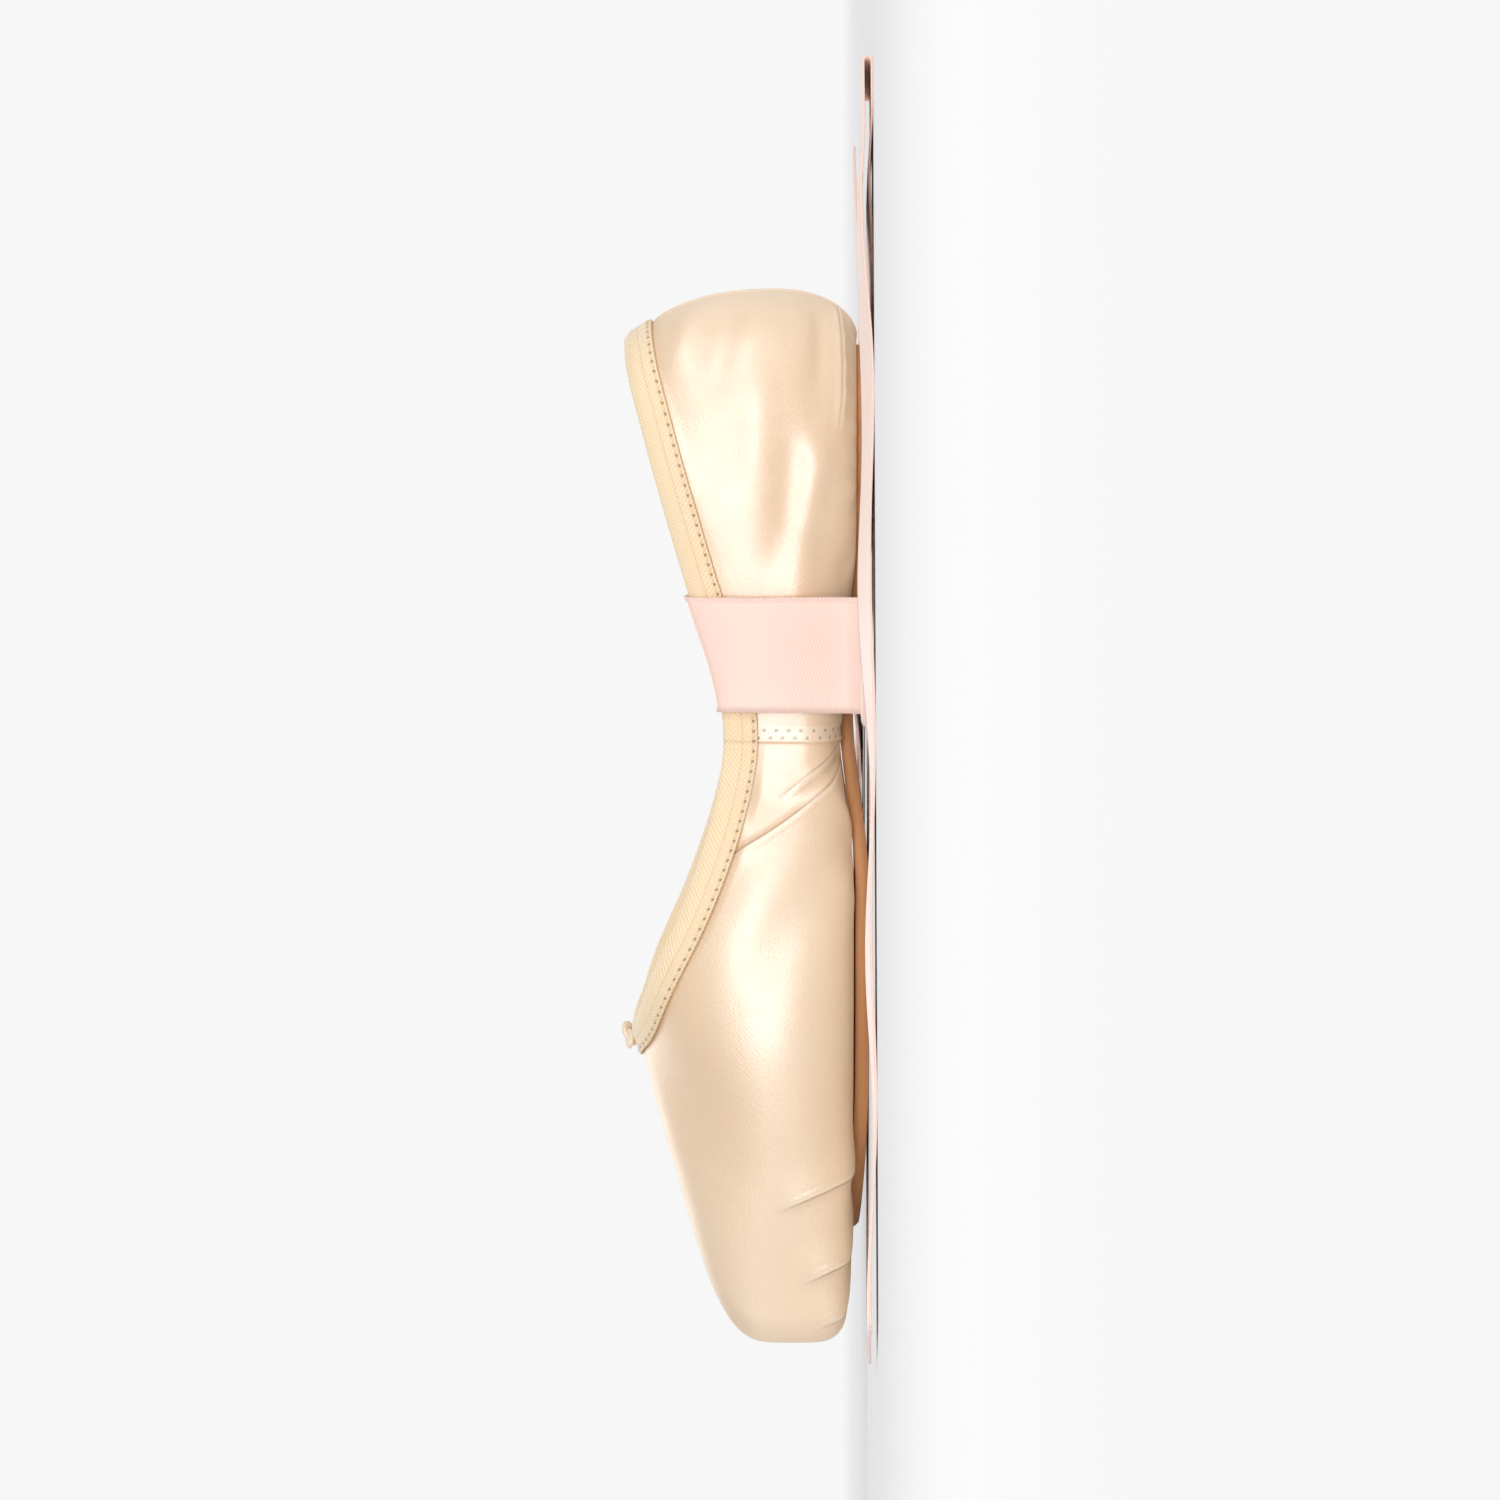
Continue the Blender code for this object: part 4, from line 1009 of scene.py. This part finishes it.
# The drawstring's knot: thin cotton cord, tied on the tape at the middle of the throat. Its three crossings
# are pressed flat against the vamp.
KNOT_CORD = 0.0022
KNOT_LOOP = 0.0010
KNOT_FLAT = 0.62
KNOT_SHORT = 0.75
KNOT_DROP = 0.0022
KNOT_STEPS = 90
CORD = (0.940, 0.790, 0.590, 1)
front = half[-1]
rim_spot, below_spot = front.from_rim((0, 2 * KNOT_DROP)) + easing[len(half) - 1]
down_vamp = (below_spot - rim_spot) / np.linalg.norm(below_spot - rim_spot)
across_vamp = np.array([0.0, 1.0, 0.0])
off_vamp = np.cross(down_vamp, across_vamp)
off_vamp *= np.sign(off_vamp[2])
knot_rise = front.step + TAPE_CLEARANCE + TAPE_THICKNESS + KNOT_FLAT * (KNOT_CORD / 2 + KNOT_LOOP)
knot_middle = rim_spot + down_vamp * KNOT_DROP + off_vamp * knot_rise
curve = bpy.data.curves.new("cotton_knot", "CURVE")
curve.dimensions = "3D"
curve.bevel_depth = KNOT_CORD / 2
curve.bevel_resolution = 3
spline = curve.splines.new("POLY")
spline.points.add(KNOT_STEPS - 1)
for i, point in enumerate(spline.points):
    a = 2 * math.pi * i / KNOT_STEPS
    spot = (
        knot_middle
        + across_vamp * KNOT_LOOP * (math.sin(a) + 2 * math.sin(2 * a))
        + down_vamp * KNOT_LOOP * KNOT_SHORT * (math.cos(a) - 2 * math.cos(2 * a))
        - off_vamp * KNOT_LOOP * math.sin(3 * a)
    )
    point.co = (*spot, 1)
spline.use_cyclic_u = True
draft = bpy.data.objects.new("knot_draft", curve)
knot_mesh = bpy.data.meshes.new_from_object(draft)
bm = bmesh.new()
bm.from_mesh(knot_mesh)
tied = Matrix((across_vamp, down_vamp, off_vamp)).transposed().to_4x4()
tied.translation = Vector(knot_middle)
pressed = tied @ Matrix.Diagonal((1, 1, KNOT_FLAT, 1)) @ tied.inverted()
bmesh.ops.transform(bm, matrix=pressed, verts=bm.verts[:])
bpy.data.objects.remove(draft)
knot = piece_of("cotton_knot", bm, [thread_finish("drawstring cotton", CORD)])
fixed(knot, "drawstring", "drawstring_knot")


# The ribbons: pink single-faced satin with a woven edge, sewn inside the quarters behind the side seams.
# They lie down loose beside the shoe, in straight runs with flat folds between them.
RIBBON_WIDTH = 0.025
RIBBON_LENGTH = 0.500
RIBBON_THICKNESS = 0.0005
RIBBON_FROM_SEAM = 0.019
RIBBON_SEWN = 0.016
RIBBON_BEND = 0.006
RIBBON_CLEARANCE = 0.0006
RIBBON_MIDDLE = SEAM - RIBBON_FROM_SEAM
RIBBON_STATIONS = 15
Run = namedtuple("Run", "length turn")
LEFT_RUNS = (Run(0.080 * RIBBON_LENGTH, 102), Run(0.244 * RIBBON_LENGTH, -166), Run(None, 0))
RIGHT_RUNS = (Run(0.092 * RIBBON_LENGTH, -98), Run(0.248 * RIBBON_LENGTH, 160), Run(None, 0))
FOLD_RADIUS = 0.0009
FOLD_ROWS = 14
FALL_LENGTH = 0.018
RUN_STEP = 0.003
RIBBON_WAVE = 0.0011
WAVE_PITCH = 0.075
WAVE_FADE = (0.010, 0.030)
WAVE_LEAN = 0.35
SELVEDGE = RIBBON_WIDTH / 2 - 0.0010
RIBBON = (0.925, 0.665, 0.565, 1)
RIBBON_PALE = (0.950, 0.730, 0.640, 1)
RIBBON_EDGE = (0.830, 0.560, 0.450, 1)


def ribbon_finish():
    """Pale pink satin ribbon: fine cross ribs, a soft gleam and a thin woven edge."""
    ribbon = Finish("pink satin ribbon", Specular_IOR_Level=0.7, Sheen_Weight=0.3, Anisotropic=0.35)
    along, across = ribbon.cloth().parts()[:2]
    edge = abs(across).between(SELVEDGE - 0.0002, SELVEDGE)
    ribs = (along * 9000).sine()
    colour = ribbon.mix(ribbon.noise(14, 2).between(0.35, 0.7) * 0.5, RIBBON, RIBBON_PALE)
    line = edge * (1 - abs(across).between(SELVEDGE, SELVEDGE + 0.0003))
    colour = ribbon.mix(line * 0.40, colour, RIBBON_EDGE)
    ribbon.set(Base_Color=colour, Roughness=0.38 + 0.18 * edge + 0.08 * ribbon.noise(150, 2))
    ribbon.set(Normal=ribbon.bump(ribs * (0.25 + 0.5 * edge) + edge, 0.00008, 0.5))
    return ribbon.made


def drop_from_collar(x):
    """The ribbon's line in the section at x, from where it is sewn inside to where it reaches the floor."""
    column = Column((x, smooth(LAST, "width", x) / 2))
    near = Column((x + RIBBON_THICKNESS, smooth(LAST, "width", x + RIBBON_THICKNESS) / 2))
    drops = np.linspace(0, 1, 9) * RIBBON_SEWN
    pair = np.array([column.from_rim(drops), near.from_rim(drops)])
    moved = [np.interp(x, [each.widest[0] for each in half], easing[: len(half), k]) for k in range(3)]
    pair += moved * (1 - step(drops, 0, EASE_DEPTH))[:, None]
    normal = -normals_of(pair, closed=False)[0]
    off = TAPE_CLEARANCE + TAPE_THICKNESS + RIBBON_CLEARANCE + RIBBON_THICKNESS / 2
    path = over_rim(pair[0], normal, len(drops), len(drops), (wall_at(x) + off, SEAM_STEP + off, off), 13)
    side = max(path[-1][1], column.radius + SEAM_STEP + off)
    low = RIBBON_THICKNESS / 2 + RIBBON_BEND
    top = path[-1]
    for share in (0.25, 0.5, 0.75):
        out = top[1] + (side - top[1]) * math.sin(share * math.pi / 2)
        path.append(np.array([x, out, top[2] + (low - top[2]) * share]))
    for a in np.linspace(0, math.pi / 2, 9):
        path.append(np.array([x, side + RIBBON_BEND * (1 - math.cos(a)), low - RIBBON_BEND * math.sin(a)]))
    return np.array(path)


def folded_runs(runs, length, start, across):
    """Rows of points of a ribbon on the floor, from start, heading +Y, with flat folds between its runs.

    A fold rolls the ribbon over a line through its middle at half the turn, so its length and width stay
    true. The rows slant to lie along each fold. A run falls to the floor where it leaves the run below."""
    rows = []
    origin = np.array(start)
    heading = math.pi / 2
    hand = -1
    slant = 0.0
    below = None
    level = RIBBON_THICKNESS / 2
    for run in runs:
        run_length = run.length or length
        turn = math.radians(run.turn)
        along = np.array([math.cos(heading), math.sin(heading)])
        left = np.array([-along[1], along[0]])
        ahead = np.sign(turn) * np.array([math.sin(turn / 2), -math.cos(turn / 2)]) if turn else None
        next_slant = -hand * ahead[1] / ahead[0] if turn else 0.0
        count = max(math.ceil(run_length / RUN_STEP), 2)
        for i in range(1, count + 1):
            share = i / count
            gone = share * run_length
            row = []
            calm = step(gone, *WAVE_FADE) * (step(run_length - gone, *WAVE_FADE) if turn else 1)
            wave = RIBBON_WAVE * calm * (1 - math.cos(2 * math.pi * gone / WAVE_PITCH)) / 2
            for v in across:
                a = gone + (slant + (next_slant - slant) * share) * v
                spot = origin + along * a + left * hand * v
                height = level + wave * (1 - WAVE_LEAN * math.sin(v * 90 + share * 5))
                if below is not None:
                    apart = abs((spot - below[0]) @ below[1]) - RIBBON_WIDTH / 2
                    height += 2 * FOLD_RADIUS * (1 - step(apart, 0, FALL_LENGTH))
                row.append((*spot, height))
            rows.append(row)
        if not turn:
            break
        line = np.array([math.cos(turn / 2), math.sin(turn / 2)])
        corner = origin + along * run_length
        for i in range(1, FOLD_ROWS + 1):
            rolled = math.pi * FOLD_RADIUS * i / FOLD_ROWS
            bulge = FOLD_RADIUS * math.sin(rolled / FOLD_RADIUS)
            height = level + FOLD_RADIUS * (1 - math.cos(rolled / FOLD_RADIUS))
            row = []
            for v in across:
                b = hand * v
                a = (rolled - b * ahead[1]) / ahead[0]
                flat = (a * line[0] + b * line[1]) * line + bulge * ahead
                spot = corner + along * flat[0] + left * flat[1]
                row.append((*spot, height))
            rows.append(row)
        rolled = math.pi * FOLD_RADIUS / ahead[0]
        origin = corner + along * rolled * line[0] * line[0] + left * rolled * line[0] * line[1]
        length -= run_length + rolled
        below = (corner, left)
        heading += turn
        hand = -hand
        slant = next_slant
    return rows


pink_satin = ribbon_finish()
ribbon_across = np.linspace(-RIBBON_WIDTH / 2, RIBBON_WIDTH / 2, RIBBON_STATIONS)
for name, runs, side in (("ribbon_left", LEFT_RUNS, 1), ("ribbon_right", RIGHT_RUNS, -1)):
    drops = np.array([drop_from_collar(RIBBON_MIDDLE + v) for v in ribbon_across])
    used = run_of(drops.mean(axis=0))[-1]
    foot = (RIBBON_MIDDLE, drops[:, -1, 1].max())
    lying = np.array(folded_runs(runs, RIBBON_LENGTH - used, foot, ribbon_across)).transpose(1, 0, 2)
    cloth = np.concatenate([drops, lying], axis=1) * np.array([1, side, 1])
    run = lengths_along(cloth, 1)
    cloth_uv = np.stack([run, np.broadcast_to(ribbon_across[:, None], run.shape)], axis=2)
    piece = laid(f"satin_{name}", cloth, cloth_uv, [pink_satin])
    thick = piece.modifiers.new("thickness", "SOLIDIFY")
    thick.thickness = RIBBON_THICKNESS
    thick.offset = 0
    fixed(piece, "ribbon_satin", name)


# The studio: a pale round floor that fades into a pale sky, soft lights and the photo's view of the shoe.
# The camera stands as low as the floor lets it, beside the shoe and a little behind, rolled so that the toe
# points down.
FLOOR = (0.92, 0.92, 0.92, 1)
FLOOR_GRAIN = (0.86, 0.86, 0.86, 1)
FLOOR_RADIUS = 1.0
FLOOR_WHOLE = 0.20
EYE = Vector((-0.12, 1.20, 0.014))
AIM = Vector((-0.014, 0.0, 0.026))
FRAME_WIDTH = 0.330
SENSOR = 36.0
SKY_LOW = (0.93, 0.93, 0.93, 1)
SKY_HIGH = (0.50, 0.50, 0.51, 1)
SKY_TURN = (0.15, 0.50)


def floor_finish():
    paper = Finish("studio paper", Roughness=0.95, Specular_IOR_Level=0.1)
    x, y = paper.place().parts()[:2]
    away = (x * x + y * y).root()
    grain = paper.noise(300, 3) * 0.04
    paper.set(Base_Color=paper.mix(grain, FLOOR, FLOOR_GRAIN))
    paper.set(Alpha=1 - away.between(FLOOR_WHOLE, FLOOR_RADIUS))
    return paper.made


bm = bmesh.new()
bmesh.ops.create_circle(bm, cap_ends=True, segments=64, radius=FLOOR_RADIUS)
floor = piece_of("studio_floor", bm, [floor_finish()])

sky = Finish("studio", "worlds", "Background")
upwards = sky.node("TexCoord", {}, {}, "Generated").parts()[2]
sky.set(Color=sky.mix(upwards.between(*SKY_TURN), SKY_LOW, SKY_HIGH))
bpy.context.scene.world = sky.made
bpy.context.scene.view_settings.view_transform = "Standard"

Lamp = namedtuple("Lamp", "name place width height power colour")
LAMPS = (
    Lamp("key", (-0.08, 1.40, 0.40), 0.90, 0.40, 7.5, (0.97, 0.985, 1.0)),
    Lamp("side", (-1.3, 0.8, 0.6), 0.50, 0.50, 4.5, (0.98, 0.99, 1.0)),
    Lamp("back", (0.3, -1.2, 1.1), 0.80, 0.80, 6.5, (0.97, 0.98, 1.0)),
)
for lamp in LAMPS:
    light = bpy.data.lights.new(lamp.name, "AREA")
    light.shape = "RECTANGLE"
    light.size = lamp.width
    light.size_y = lamp.height
    light.energy = lamp.power
    light.color = lamp.colour
    held = bpy.data.objects.new(lamp.name, light)
    held.location = lamp.place
    held.rotation_euler = (AIM - held.location).to_track_quat("-Z", "Y").to_euler()
    bpy.context.collection.objects.link(held)

lens_data = bpy.data.cameras.new("view")
lens_data.sensor_width = SENSOR
lens_data.lens = SENSOR * (EYE - AIM).length / FRAME_WIDTH
lens_data.clip_start = 0.05
lens_data.clip_end = 30
back = (EYE - AIM).normalized()
right = Vector((-1, 0, 0)).cross(back).normalized()
up = back.cross(right)
camera = bpy.data.objects.new("view", lens_data)
camera.matrix_world = Matrix((right, up, back)).transposed().to_4x4()
camera.matrix_world.translation = EYE
bpy.context.collection.objects.link(camera)
bpy.context.scene.camera = camera
